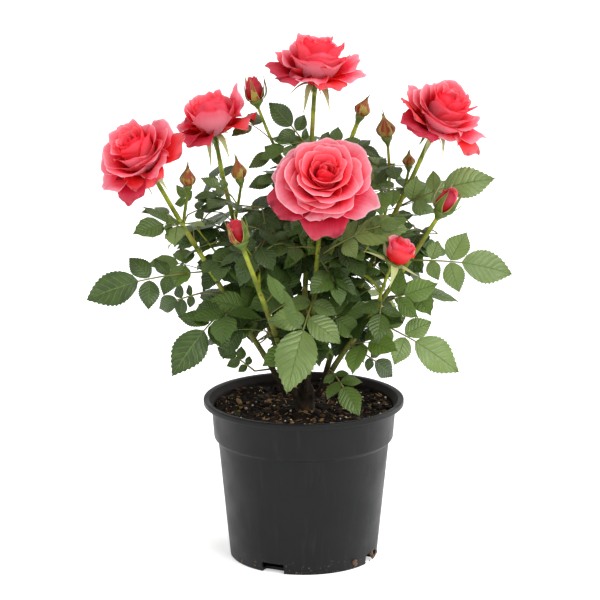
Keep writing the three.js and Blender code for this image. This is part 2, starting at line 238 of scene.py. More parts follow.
def grid(bm, across, along, place, tone=0):
    """Lays a grid of faces and puts each corner where place(u, v) says, u and v from 0 to 1."""
    first = len(bm.faces)
    made = bmesh.ops.create_grid(bm, x_segments=across, y_segments=along, size=0.5, calc_uvs=True)
    for corner in made["verts"]:
        corner.co = place(corner.co.x + 0.5, corner.co.y + 0.5)
    bm.faces.ensure_lookup_table()
    for face in bm.faces[first:]:
        face.material_index = tone
        face.smooth = True
    return made["verts"]


def smooth_line(knots, count):
    """Even steps along a smooth curve through knots, each a row of x, y, z and radius."""
    knots = np.asarray(knots, float)
    rows = np.vstack([2 * knots[0] - knots[1], knots, 2 * knots[-1] - knots[-2]])
    fine = []
    for a, b, c, d in zip(rows, rows[1:], rows[2:], rows[3:]):
        for t in np.linspace(0, 1, 10, endpoint=False):
            bend = (2 * a - 5 * b + 4 * c - d) * t * t + (3 * b - a - 3 * c + d) * t ** 3
            fine.append(b + 0.5 * ((c - a) * t + bend))
    fine = np.array(fine + [knots[-1]])
    steps = np.linalg.norm(np.diff(fine[:, :3], axis=0), axis=1)
    run = np.concatenate([[0], np.cumsum(steps)])
    even = np.linspace(0, run[-1], count)
    return np.column_stack([np.interp(even, run, fine[:, i]) for i in range(fine.shape[1])])


def carried_frames(rows):
    """The way along a line and a side direction that is carried along it without twist."""
    points = [Vector(row[:3]) for row in rows]
    ways = [(b - a).normalized() for a, b in zip(points, points[1:])]
    ways.append(ways[-1])
    side = ways[0].orthogonal().normalized()
    frames = []
    for point, way in zip(points, ways):
        side = (side - way * side.dot(way)).normalized()
        frames.append((point, way, side))
    return frames


def tube(bm, rows, sides, tone=0, relief=None):
    """A closed limb round a line of x, y, z and radius: a grid rolled up and welded."""
    frames = carried_frames(rows)
    last = len(rows) + 1

    def place(u, v):
        i = round(v * last)
        point, way, side = frames[min(max(i - 1, 0), last - 2)]
        radius = 0 if i in (0, last) else rows[i - 1][3]
        turn = 2 * math.pi * u
        out = side * math.cos(turn) + way.cross(side) * math.sin(turn)
        if relief and radius:
            radius *= 1 + relief(out, point, turn)
        return point + out * radius

    corners = grid(bm, sides, last, place, tone)
    bmesh.ops.remove_doubles(bm, verts=corners, dist=1e-7)


def link(name, data):
    """An object of this name in the scene, to hold a mesh, a camera or a lamp."""
    made = bpy.data.objects.new(name, data)
    bpy.context.scene.collection.objects.link(made)
    return made


def solid(name, bm, materials=()):
    """An object of this name made of the mesh."""
    mesh = bpy.data.meshes.new(name)
    bm.to_mesh(mesh)
    bm.free()
    for material in materials:
        mesh.materials.append(material)
    return link(name, mesh)


def finished(name, bm, materials, nodes=()):
    """Makes the mesh a piece of the bush, in place of the frame's nodes."""
    piece = solid(name, bm, materials)
    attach(piece, "root")
    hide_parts(*nodes)
    return piece


# ---------------------------------------------------------------- reading the frame


def nodes_named(start):
    return sorted(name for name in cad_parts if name.startswith(start))


def corners_of(node):
    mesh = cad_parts[node].data
    found = np.empty(len(mesh.vertices) * 3)
    mesh.vertices.foreach_get("co", found)
    return found.reshape(-1, 3)


def triangles_of(node):
    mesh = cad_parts[node].data
    return corners_of(node)[np.array([face.vertices[:] for face in mesh.polygons])]


# How a limb is read from the frame and redrawn, with lengths in millimetres.
SLICE = 1.5       # height from one slice through it to the next
BUD_SLICES = 24   # slices at its head that its bud may take up
HALF_BUD = 13     # slices from a bud's widest place down to the bare stalk
BUD_FOOT = 1.2    # a bud starts where its limb is this many times its stalk's thickness
WAY_SLICES = 6    # slices under a limb's head that show which way it points
KNOT_GAP = 26     # way from one knot of its smoothed line to the next
RING_GAP = 2.4    # way from one ring of its mesh to the next


def slices(node):
    """Centre and radius of a rising limb at even heights: rows of x, y, z and radius."""
    triangles = triangles_of(node)
    low, high = triangles[..., 2].min(), triangles[..., 2].max()
    starts = triangles.reshape(-1, 3)
    ends = np.roll(triangles, -1, axis=1).reshape(-1, 3)
    rows = []
    count = max(3, round((high - low) / (SLICE * MM)))
    for height in np.linspace(low + 0.3 * MM, high - 0.3 * MM, count):
        crossing = (starts[:, 2] - height) * (ends[:, 2] - height) < 0
        a, b = starts[crossing], ends[crossing]
        cut = a + (b - a) * ((height - a[:, 2]) / (b[:, 2] - a[:, 2]))[:, None]
        middle = (cut.min(0) + cut.max(0)) / 2
        spread = np.cov((cut - middle)[:, :2].T)
        rows.append([*middle, math.sqrt(2 * max(np.linalg.eigvalsh(spread)[0], 0))])
    return np.array(rows)


class Limb:
    """A cane or a side stalk as the frame holds it: its line, and the bud at its head if it has one."""

    def __init__(self, node, has_bud):
        rows = slices(node)
        head = len(rows) - 1
        if has_bud:
            widest = len(rows) - BUD_SLICES + int(np.argmax(rows[-BUD_SLICES:, 3]))
            thin = np.percentile(rows[:max(widest - HALF_BUD, 4), 3], 25)
            head = widest
            while rows[head, 3] > BUD_FOOT * thin:
                head -= 1
            self.bud_radius = rows[widest, 3]
        self.head = Vector(rows[head, :3])
        self.way = (self.head - Vector(rows[head - WAY_SLICES, :3])).normalized()
        tip = Vector(rows[-1, :3])
        self.bud_length = (tip - self.head).length
        if has_bud:
            self.way = (tip - self.head).normalized()
        wood = rows[:head + 1]
        knots = wood[np.linspace(0, head, max(4, round(head * SLICE / KNOT_GAP))).astype(int)]
        knots[:, 3] = np.interp(knots[:, 2], [wood[0, 2], wood[-1, 2]], self.taper(wood))
        self.line = smooth_line(knots, max(12, round(head * SLICE / RING_GAP)))

    @staticmethod
    def taper(wood):
        """Its radius near its foot and near its head."""
        tenth = max(len(wood) // 10, 2)
        return [np.median(wood[tenth:3 * tenth, 3]), np.median(wood[-2 * tenth:-1, 3])]


class LeafMass:
    """A mass of foliage as the frame holds it: where it is, and how far it reaches each way."""

    def __init__(self, node):
        self.name = node
        self.corners = corners_of(node)
        low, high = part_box(node)
        self.centre = (low + high) / 2
        self.half = (high - low) / 2

    def reach(self, way):
        """How far it reaches from its centre along a way."""
        return float(np.max((self.corners - np.array(self.centre)) @ np.array(way)))

    def holds(self, point):
        """Whether a point lies well inside it."""
        offset = point - self.centre
        return sum((offset[i] / (self.half[i] * 0.7)) ** 2 for i in range(3)) < 1


# ---------------------------------------------------------------- material tools


class Wires:
    """Lays and joins the nodes of one material or group."""

    def __init__(self, tree):
        self.tree = tree

    def node(self, kind, feeds=None, **settings):
        made = self.tree.nodes.new(kind)
        for name, value in settings.items():
            setattr(made, name, value)
        for socket, value in (feeds or {}).items():
            self.feed(made.inputs[socket], value)
        return made

    def feed(self, socket, value):
        if isinstance(value, bpy.types.NodeSocket):
            self.tree.links.new(value, socket)
        elif socket.type == "RGBA":
            socket.default_value = (*value[:3], 1)
        else:
            socket.default_value = value

    def place(self):
        return self.node("ShaderNodeTexCoord").outputs["Object"]

    def blade(self):
        return self.node("ShaderNodeUVMap", uv_map=BLADE).outputs["UV"]

    def stretched(self, vector, scale):
        return self.node("ShaderNodeMapping", {"Vector": vector, "Scale": scale}).outputs[0]

    def split(self, vector):
        return self.node("ShaderNodeSeparateXYZ", {0: vector}).outputs

    def math(self, operation, *values):
        return self.node("ShaderNodeMath", dict(enumerate(values)), operation=operation).outputs[0]

    def times(self, first, second):
        return self.math("MULTIPLY", first, second)

    def off_middle(self, across):
        """How far off a blade's middle line a place is, 1 at the blade's sides."""
        return self.math("ABSOLUTE", self.math("MULTIPLY_ADD", across, 2.0, -1.0))

    def from_behind(self):
        return self.node("ShaderNodeNewGeometry").outputs["Backfacing"]

    def step(self, value, low, high, start=0.0, end=1.0):
        feeds = {0: value, 1: low, 2: high, 3: start, 4: end}
        return self.node("ShaderNodeMapRange", feeds, interpolation_type="SMOOTHSTEP").outputs[0]

    def mix(self, part, first, second, kind="MIX"):
        feeds = {0: part, 6: first, 7: second}
        return self.node("ShaderNodeMix", feeds, data_type="RGBA", blend_type=kind).outputs[2]

    def noise(self, vector, scale, detail, roughness=0.55):
        feeds = {"Vector": vector, "Scale": scale, "Detail": detail, "Roughness": roughness}
        return self.node("ShaderNodeTexNoise", feeds).outputs["Fac"]

    def group(self, tree, feeds):
        made = self.tree.nodes.new("ShaderNodeGroup")
        made.node_tree = tree
        for name, value in feeds.items():
            self.feed(made.inputs[name], value)
        return made.outputs

    def grain(self, fine, broad):
        feeds = {"Place": self.place(), "Fine": fine, "Broad": broad}
        return self.group(shared("Grain", grain_group), feeds)

    def finish(self, shader, tint, height, strength, distance):
        """Feeds a surface's colour and its fine relief to its shader."""
        feeds = {"Height": height, "Strength": strength, "Distance": distance}
        self.feed(shader["Base Color"], tint)
        self.feed(shader["Normal"], self.node("ShaderNodeBump", feeds).outputs[0])


FLOAT, VECTOR, TINT = "NodeSocketFloat", "NodeSocketVector", "NodeSocketColor"


def new_group(name, takes, gives):
    """An empty node group with named inputs and outputs, and the wires inside it."""
    tree = bpy.data.node_groups.new(name, "ShaderNodeTree")
    for label, kind in takes.items():
        tree.interface.new_socket(name=label, in_out="INPUT", socket_type=kind)
    for label, kind in gives.items():
        tree.interface.new_socket(name=label, in_out="OUTPUT", socket_type=kind)
    wires = Wires(tree)
    return tree, wires, wires.node("NodeGroupInput").outputs, wires.node("NodeGroupOutput").inputs


def shared(name, build):
    """The node group or material of this name, built the first time that it is asked for."""
    kept = bpy.data.node_groups.get(name) or bpy.data.materials.get(name)
    return kept or build(name)


def new_material(name, tint, **plain):
    """A material with this colour and plain values set on its Principled shader, and the wires
    inside it."""
    material = bpy.data.materials.new(name)
    material.use_nodes = True
    material.diffuse_color = (*tint, 1)
    shader = material.node_tree.nodes["Principled BSDF"].inputs
    wires = Wires(material.node_tree)
    for label, value in {"Base_Color": tint, **plain}.items():
        wires.feed(shader[label.replace("_", " ")], value)
    return material, wires, shader


def grain_group(name):
    """Fine grain over broad patches, for plastic, potting mix, green skins and sepals."""
    takes = {"Place": VECTOR, "Fine": FLOAT, "Broad": FLOAT}
    gives = {"Patches": FLOAT, "Grain": FLOAT, "Height": FLOAT}
    tree, wires, given, made = new_group(name, takes, gives)
    broad = wires.noise(given["Place"], given["Broad"], 4)
    fine = wires.noise(given["Place"], given["Fine"], 3, 0.65)
    wires.feed(made["Patches"], wires.step(broad, 0.36, 0.66))
    wires.feed(made["Grain"], wires.step(fine, 0.3, 0.7))
    wires.feed(made["Height"], wires.math("MULTIPLY_ADD", fine, 0.7, wires.times(broad, 0.3)))
    return tree


def veins_group(name):
    """A leaf's midrib and side veins, which slant towards its tip, on its own map."""
    takes = {"Map": VECTOR, "Pairs": FLOAT, "Slant": FLOAT}
    tree, wires, given, made = new_group(name, takes, {"Veins": FLOAT, "Height": FLOAT})
    across, along = wires.split(given["Map"])[:2]
    off = wires.off_middle(across)
    lag = wires.times(wires.math("POWER", off, 0.85), given["Slant"])
    waver = wires.times(wires.noise(given["Map"], 7.0, 1), 0.05)
    slanted = wires.math("ADD", wires.math("SUBTRACT", along, lag), waver)
    stage = wires.math("FRACT", wires.times(slanted, given["Pairs"]))
    from_vein = wires.math("ABSOLUTE", wires.math("SUBTRACT", stage, 0.5))
    fading = wires.step(off, 0.6, 0.95, 1.0, 0.0)
    side_veins = wires.times(wires.step(from_vein, 0.0, 0.11, 1.0, 0.0), fading)
    both = wires.math("MAXIMUM", side_veins, wires.step(off, 0.02, 0.1, 1.0, 0.0))
    swell = wires.math("SINE", wires.times(stage, math.pi))
    wires.feed(made["Veins"], both)
    wires.feed(made["Height"], wires.math("MULTIPLY_ADD", swell, 0.8, wires.times(both, -0.5)))
    return tree


def petal_group(name):
    """A petal's colour from its claw to its rim, with painted shade towards its foot, fine veins and a
    bruised tip.
    """
    takes = {
        "Map": VECTOR, "Place": VECTOR, "Blade": TINT, "Deep": TINT, "Throat": TINT, "Rim": TINT,
        "Spent": TINT, "Bruise": FLOAT,
    }
    tree, wires, given, made = new_group(name, takes, {"Color": TINT, "Height": FLOAT})
    across, along = wires.split(given["Map"])[:2]
    off = wires.off_middle(across)
    veins = wires.noise(wires.stretched(given["Map"], (38.0, 1.6, 1.0)), 1.0, 3, 0.6)
    patches = wires.noise(given["Place"], 90.0, 2)
    # Painted shade: the blade turns to the deep red towards its foot, where the bloom is shaded.
    tint = wires.mix(wires.step(along, 0.34, 0.9), given["Deep"], given["Blade"])
    tint = wires.mix(wires.step(along, 0.72, 1.0, 0.0, 0.55), tint, given["Rim"])
    tint = wires.mix(wires.step(along, 0.02, 0.15, 0.6, 0.0), tint, given["Throat"])
    lighter = wires.times(wires.step(veins, 0.42, 0.72), wires.step(along, 0.2, 0.8, 0.0, 0.14))
    tint = wires.mix(lighter, tint, given["Rim"])
    tint = wires.mix(wires.step(patches, 0.42, 0.7, 0.0, 0.22), tint, given["Deep"])
    to_edge = wires.math("MAXIMUM", along, wires.times(off, wires.step(along, 0.15, 0.5)))
    edge = wires.step(to_edge, 0.95, 1.0)
    broken = wires.step(wires.noise(given["Place"], 260.0, 2), 0.35, 0.65, 0.45, 1.0)
    tint = wires.mix(wires.times(edge, broken), tint, given["Rim"])
    at_tip = wires.times(wires.step(to_edge, 0.84, 1.0), wires.step(patches, 0.5, 0.62))
    bruised = wires.times(at_tip, given["Bruise"])
    wires.feed(made["Color"], wires.mix(bruised, tint, given["Spent"]))
    wires.feed(made["Height"], wires.math("MULTIPLY_ADD", veins, 0.8, wires.times(patches, 0.4)))
    return tree


# ---------------------------------------------------------------- materials


def pot_plastic(name):
    look = bpy.context.scene.rose_pot
    material, wires, shader = new_material(name, look.plastic, Specular_IOR_Level=0.22)
    place = wires.place()
    grain = wires.grain(1500.0, 38.0)
    streaks = wires.noise(wires.stretched(place, (240.0, 240.0, 14.0)), 1.0, 2)
    rubbed = wires.times(wires.step(streaks, 0.5, 0.78), grain["Patches"])
    tint = wires.mix(wires.times(rubbed, 0.55), look.plastic, look.scuffed)
    specks = wires.step(wires.noise(place, 700.0, 2, 0.8), 0.66, 0.74, 0.0, 0.35)
    tint = wires.mix(specks, tint, look.scuffed)
    near_foot = wires.step(wires.split(place)[2], 0.0, 17 * MM, 1.0, 0.0)
    splash = wires.step(wires.noise(place, 330.0, 4, 0.7), 0.6, 0.68)
    tint = wires.mix(wires.times(near_foot, splash), tint, look.dried_mud)
    wires.feed(shader["Roughness"], wires.math("MULTIPLY_ADD", grain["Patches"], 0.1, 0.42))
    wires.finish(shader, tint, grain["Height"], 0.35, 0.25 * MM)
    return material


def shaded_inner_wall(name):
    """The inside of the pot's wall in dark potting-mix colours, as painted shade down the inside of the pot.
    """
    look = bpy.context.scene.rose_soil
    material, wires, shader = new_material(name, look.moist, Roughness=0.7, Specular_IOR_Level=0.15)
    grain = wires.grain(900.0, 90.0)
    tint = wires.mix(wires.times(grain["Patches"], 0.3), look.moist, look.dry)
    wires.finish(shader, tint, grain["Height"], 0.4, 0.4 * MM)
    return material


def potting_mix(name):
    look = bpy.context.scene.rose_soil
    material, wires, shader = new_material(name, look.moist, Roughness=0.95, Specular_IOR_Level=0.1)
    grain = wires.grain(620.0, 120.0)
    tint = wires.mix(wires.times(grain["Grain"], grain["Patches"]), look.moist, look.dry)
    wires.finish(shader, tint, grain["Height"], 1.0, 1.6 * MM)
    return material


def chip_material(name, tint):
    material, wires, shader = new_material(name, tint, Roughness=0.85, Specular_IOR_Level=0.2)
    grain = wires.grain(1400.0, 500.0)
    wires.finish(shader, tint, grain["Height"], 0.7, 0.5 * MM)
    return material


def cane_bark(name):
    look = bpy.context.scene.rose_wood
    material, wires, shader = new_material(name, look.green, Roughness=0.5, Specular_IOR_Level=0.28)
    place = wires.place()
    height = wires.split(place)[2]
    streaks = wires.noise(wires.stretched(wires.blade(), (13.0, 5.0, 1.0)), 1.0, 4, 0.65)
    patches = wires.noise(place, 75.0, 3)
    young = wires.mix(wires.step(patches, 0.38, 0.62), look.green, look.sunlit)
    blush = wires.times(wires.step(wires.noise(place, 38.0, 2), 0.5, 0.68), 0.38)
    young = wires.mix(blush, young, look.blush)
    young = wires.mix(wires.step(streaks, 0.5, 0.75, 0.0, 0.35), young, look.sunlit)
    # The young bark darkens towards the old bark's ridge colour lower down, between these heights.
    young = wires.mix(wires.step(height, 180 * MM, 270 * MM, 0.6, 0.0), young, look.worn_wood)
    old = wires.mix(wires.step(streaks, 0.42, 0.6), look.old_wood, look.worn_wood)
    lowered = wires.math("SUBTRACT", height, 20 * MM)
    wandering = wires.math("MULTIPLY_ADD", wires.noise(place, 60.0, 2), 40 * MM, lowered)
    greened = wires.step(wandering, look.old_height - 14 * MM, look.old_height + 20 * MM)
    wires.feed(shader["Roughness"], wires.step(greened, 0.0, 1.0, 0.85, 0.46))
    wires.finish(shader, wires.mix(greened, old, young), streaks, 0.5, 0.5 * MM)
    return material


def waxy_green(name, tint, second):
    """A smooth green skin that blushes into a second colour, for hips, stalks and prickles."""
    material, wires, shader = new_material(name, tint, Roughness=0.5)
    grain = wires.grain(900.0, 130.0)
    shown = wires.mix(wires.times(grain["Patches"], 0.6), tint, second)
    wires.finish(shader, shown, grain["Height"], 0.2, 0.3 * MM)
    return material


def sepal_material(name, tint, blush):
    """A sepal: green or brown-red down its middle, with pale downy edges."""
    material, wires, shader = new_material(name, tint, Roughness=0.6, Specular_IOR_Level=0.3)
    off = wires.off_middle(wires.split(wires.blade())[0])
    grain = wires.grain(1100.0, 150.0)
    patches = wires.step(grain["Patches"], 0.0, 0.5)
    body = wires.mix(wires.times(patches, wires.step(off, 0.0, 0.5, 0.55, 1.1)), tint, blush)
    downy = wires.times(wires.from_behind(), 0.7)
    paler = wires.math("MAXIMUM", downy, wires.step(off, 0.78, 1.0, 0.0, 0.7))
    edge = bpy.context.scene.rose_bloom.sepal_edge
    wires.finish(shader, wires.mix(paler, body, edge), grain["Height"], 0.3, 0.3 * MM)
    return material


def petal_material(name, inside, deep, outside, under, rim, bruise):
    look = bpy.context.scene.rose_bloom
    material, wires, shader = new_material(
        name, inside, Roughness=0.5, Specular_IOR_Level=0.22, Sheen_Weight=0.06, Sheen_Roughness=0.4
    )
    tree = shared("Petal", petal_group)
    feeds = {
        "Map": wires.blade(), "Place": wires.place(), "Blade": inside, "Deep": deep,
        "Throat": look.throat, "Rim": rim, "Spent": look.spent, "Bruise": bruise,
    }
    upper = wires.group(tree, feeds)
    lower = wires.group(tree, {**feeds, "Blade": outside, "Deep": under, "Rim": inside})
    tint = wires.mix(wires.from_behind(), upper["Color"], lower["Color"])
    wires.finish(shader, tint, upper["Height"], 0.25, 0.4 * MM)
    let_light_through(material, wires, wires.mix(0.7, tint, tint, "MULTIPLY"), 0.5)
    return material


def let_light_through(material, wires, tint, part):
    """Mixes this part of a translucent shader into a thin blade, so that light glows through."""
    nodes = material.node_tree.nodes
    through = wires.node("ShaderNodeBsdfTranslucent", {"Color": tint}).outputs[0]
    feeds = {0: part, 1: nodes["Principled BSDF"].outputs[0], 2: through}
    both = wires.node("ShaderNodeMixShader", feeds).outputs[0]
    wires.feed(nodes["Material Output"].inputs["Surface"], both)


def leaf_material(name, tint, veined):
    """Leaf green. A veined one shows its veins and a paler underside in its colour too."""
    look = bpy.context.scene.rose_leaf
    roughness, shine = (0.33, 0.5) if veined else (0.42, 0.4)
    material, wires, shader = new_material(name, tint, Roughness=roughness, Specular_IOR_Level=shine)
    feeds = {"Map": wires.blade(), "Pairs": look.pairs_of_veins, "Slant": 0.32}
    veins = wires.group(shared("Leaf veins", veins_group), feeds)
    shown = tint
    if veined:
        patches = wires.noise(wires.place(), 110.0, 3)
        broad = wires.step(wires.noise(wires.place(), 34.0, 2), 0.38, 0.62, 0.0, 0.5)
        upper = wires.mix(broad, tint, tuple(part * 0.6 for part in tint))
        upper = wires.mix(wires.step(patches, 0.35, 0.7, 0.0, 0.3), upper, look.fresh)
        upper = wires.mix(wires.times(veins["Veins"], 0.18), upper, look.vein)
        lower = wires.mix(wires.times(veins["Veins"], 0.5), look.pale, look.vein)
        shown = wires.mix(wires.from_behind(), upper, lower)
        let_light_through(material, wires, shown, 0.18)
    wires.finish(shader, shown, veins["Height"], 0.7, 0.65 * MM)
    return material


# The greens in order, from painted shade to painted light.
LEAF_TONES = ("deep", "dark", "middle", "fresh", "bright")


def leaf_materials(veined):
    """The greens in order, then the midrib's green and the leaf stalks' finish."""
    look = bpy.context.scene.rose_leaf
    kind = "Veined leaf" if veined else "Leaf"
    greens = [
        shared(f"{kind} {tone}", lambda name, tone=tone: leaf_material(name, getattr(look, tone), veined))
        for tone in LEAF_TONES
    ]
    midrib = blend_tints(look.middle, look.bright if veined else look.fresh, 0.55)
    rib = shared(f"{kind} midrib", lambda name: leaf_material(name, midrib, False))
    stalk = shared("Leaf stalk", lambda name: waxy_green(name, look.leaf_stalk, look.fresh))
    return [*greens, rib, stalk]


DEEP_SHADE, DARK, MIDDLE, FRESH, BRIGHT = range(len(LEAF_TONES))
RIB = len(LEAF_TONES)
LEAF_STALK = RIB + 1

# Each petal tone's wear and painted shade: how bright its painted-shade foot is against its
# blade, how much paler its outer face and its rim are, and how bruised its tip is. The heart's
# and the cup's outer faces stay near their red as painted shade deep in the bloom.
PETAL_WEAR_AND_SHADE = {
    "heart": (1.0, 0.12, 0.45, 0.0),
    "cup": (1.0, 0.35, 0.75, 0.0),
    "outer": (0.96, 0.72, 1.0, 0.0),
    "guard": (0.9, 0.4, 1.0, 0.1),
    "crimson": (0.82, 0.2, 0.2, 0.7),
    "flame": (0.9, 0.2, 0.35, 0.6),
    "bud_petal": (0.7, 0.2, 0.7, 0.0),
}
PETAL_TONES = tuple(PETAL_WEAR_AND_SHADE)
HEART = PETAL_TONES.index("heart")
HIP, SEPAL, BUD_SEPAL = (len(PETAL_TONES) + i for i in range(3))


def bloom_materials():
    """The petal tones in order, then the hip's, the sepals' and the closed buds' finishes."""
    look = bpy.context.scene.rose_bloom
    petals = []
    for tone, (depth, paler, paleness, bruise) in PETAL_WEAR_AND_SHADE.items():
        inside = tuple(getattr(look, tone))
        red, green, blue = (part * depth for part in inside)
        # Painted shade: the deep red of each petal's foot, darkened by the tone's depth, with little green
        # and blue.
        deep = (red, green * 0.1, blue * 0.1)
        outside = blend_tints(inside, look.back, paler)
        rim = blend_tints(inside, look.rim, paleness)
        # The outer face's foot: the outer colour for the heart, cup and outer cup tones, and the
        # painted-shade deep red for the guard, crimson, flame and bud tones.
        under = outside if tone in ("heart", "cup", "outer") else deep
        use = (inside, deep, outside, under, rim, bruise)
        petals.append(shared(f"Petal {tone}", lambda name, use=use: petal_material(name, *use)))
    return [
        *petals,
        shared("Hip", lambda name: waxy_green(name, look.hip, look.sepal)),
        shared("Sepal", lambda name: sepal_material(name, look.sepal, look.hip)),
        shared("Bud sepal", lambda name: sepal_material(name, look.bud_sepal, look.bud_blush)),
    ]


# ---------------------------------------------------------------- pot and soil


NOTCH_ROUNDING = 1.2 * MM
MOULDED_CORNER = math.radians(9)   # a level edge of the pot that bends more than this is rounded
UNSHADED_LIP = 1.5 * MM               # how far under its rim the painted shade on its inner wall begins


def notch_cutter(look):
    """Blocks across the foot of the pot, to be cut out of it as drain notches."""
    bm = bmesh.new()
    size = Matrix.Diagonal((look.notch_depth * 2, look.notch_width, look.notch_height * 2, 1))
    for i in range(look.notches):
        turn = Matrix.Rotation(look.first_notch + i * 2 * math.pi / look.notches, 4, "Z")
        bmesh.ops.create_cube(bm, size=1, matrix=turn @ Matrix.Translation((look.foot, 0, 0)) @ size)
    bmesh.ops.bevel(
        bm, geom=bm.edges[:], offset=NOTCH_ROUNDING, segments=3, affect="EDGES", profile=0.5, material=-1
    )
    return solid("notch_cutter", bm)


def pot_outline(look, rim, height):
    """Half section of the pot as radius and height, up its outside and down its inside."""
    collar_top = height - look.lip_height
    collar_foot = collar_top - look.collar_height
    inside = [
        (rim - look.lip_width, height),
        (look.collar_top - look.wall, collar_top),
        (look.collar_foot - look.wall, collar_foot),
        (look.body_top - look.wall, collar_foot - look.step_drop),
        (look.foot - look.wall, look.floor),
        (0, look.floor),
    ]
    return [
        (0, 0), (look.foot, 0), (look.body_top, collar_foot - look.step_drop),
        (look.collar_foot, collar_foot), (look.collar_top, collar_top), (rim, collar_top + 0.4 * MM),
        (rim, height), *inside,
    ]


class ROSE_OT_pot(bpy.types.Operator):
    """Turns the nursery pot, rounds its moulded edges and cuts its drain notches"""

    bl_idname = "rose.pot"
    bl_label = "Nursery pot"

    def execute(self, context):
        look = context.scene.rose_pot
        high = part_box("pot")[1]
        bm = bmesh.new()
        ring = [bm.verts.new((radius, 0, z)) for radius, z in pot_outline(look, high.x, high.z)]
        edges = [bm.edges.new(pair) for pair in zip(ring, ring[1:])]
        bmesh.ops.spin(
            bm, geom=ring + edges, cent=(0, 0, 0), axis=(0, 0, 1), angle=2 * math.pi, steps=128,
            use_merge=True,
        )
        bmesh.ops.remove_doubles(bm, verts=bm.verts, dist=1e-6)
        bmesh.ops.recalc_face_normals(bm, faces=bm.faces)
        corners = [edge for edge in bm.edges if edge.calc_face_angle(0) > MOULDED_CORNER
                   and abs(edge.verts[0].co.z - edge.verts[1].co.z) < 1e-6]
        bmesh.ops.bevel(
            bm, geom=corners, offset=look.rounding, segments=3, affect="EDGES", profile=0.5,
            material=-1, clamp_overlap=True,
        )
        piece = finished("pot_shell", bm, [shared("Pot plastic", pot_plastic)], ["pot"])
        cutter = notch_cutter(look)
        cut = piece.modifiers.new("Drain notches", "BOOLEAN")
        cut.operation = "DIFFERENCE"
        cut.object = cutter
        view = context.evaluated_depsgraph_get()
        notched = bpy.data.meshes.new_from_object(piece.evaluated_get(view))
        piece.modifiers.remove(cut)
        piece.data = notched
        bpy.data.objects.remove(cutter)
        for face in notched.polygons:
            face.use_smooth = True
        notched.set_sharp_from_angle(angle=math.radians(32))
        notched.materials.append(shared("Stained wall", shaded_inner_wall))
        # The inner wall from the floor to just under the rim takes the painted shade.
        for face in notched.polygons:
            inward = face.normal.x * face.center.x + face.normal.y * face.center.y < 0
            if inward and look.floor < face.center.z < high.z - UNSHADED_LIP:
                face.material_index = 1
        self.clods(look)
        return {"FINISHED"}

    def clods(self, look):
        """Crumbs of dried mix that cling to the foot of the pot."""
        bm = new_mesh()
        dice = random.Random(23)
        for i in range(22):
            turn = math.radians(dice.uniform(-80, -20) if i < 14 else dice.uniform(0, 360))
            size = (0.6 if i % 4 else 2.3) * dice.uniform(0.8, 1.2) * MM
            at = Vector((look.foot * math.cos(turn), look.foot * math.sin(turn), size * dice.uniform(1.3, 3)))
            for corner in bmesh.ops.create_icosphere(bm, subdivisions=1, radius=size)["verts"]:
                corner.co = at + corner.co * dice.uniform(0.7, 1.25)
        finish = shared("Clod", lambda name: chip_material(name, look.dried_mud))
        finished("clods", bm, [finish])


def soil_height(x, y, look, level, edge):
    """The top of the mix: lumpy, banked up a little at the wall and round the canes."""
    lumps = noise.fractal(Vector((x, y, 0.7)) * 55, 1.0, 2.0, 4) * look.roughness
    out = math.hypot(x, y)
    at_wall = 4.5 * MM * ease(out, edge * 0.72, edge)
    return level + lumps + at_wall + 2.5 * MM * ease(out, 30 * MM, 8 * MM)


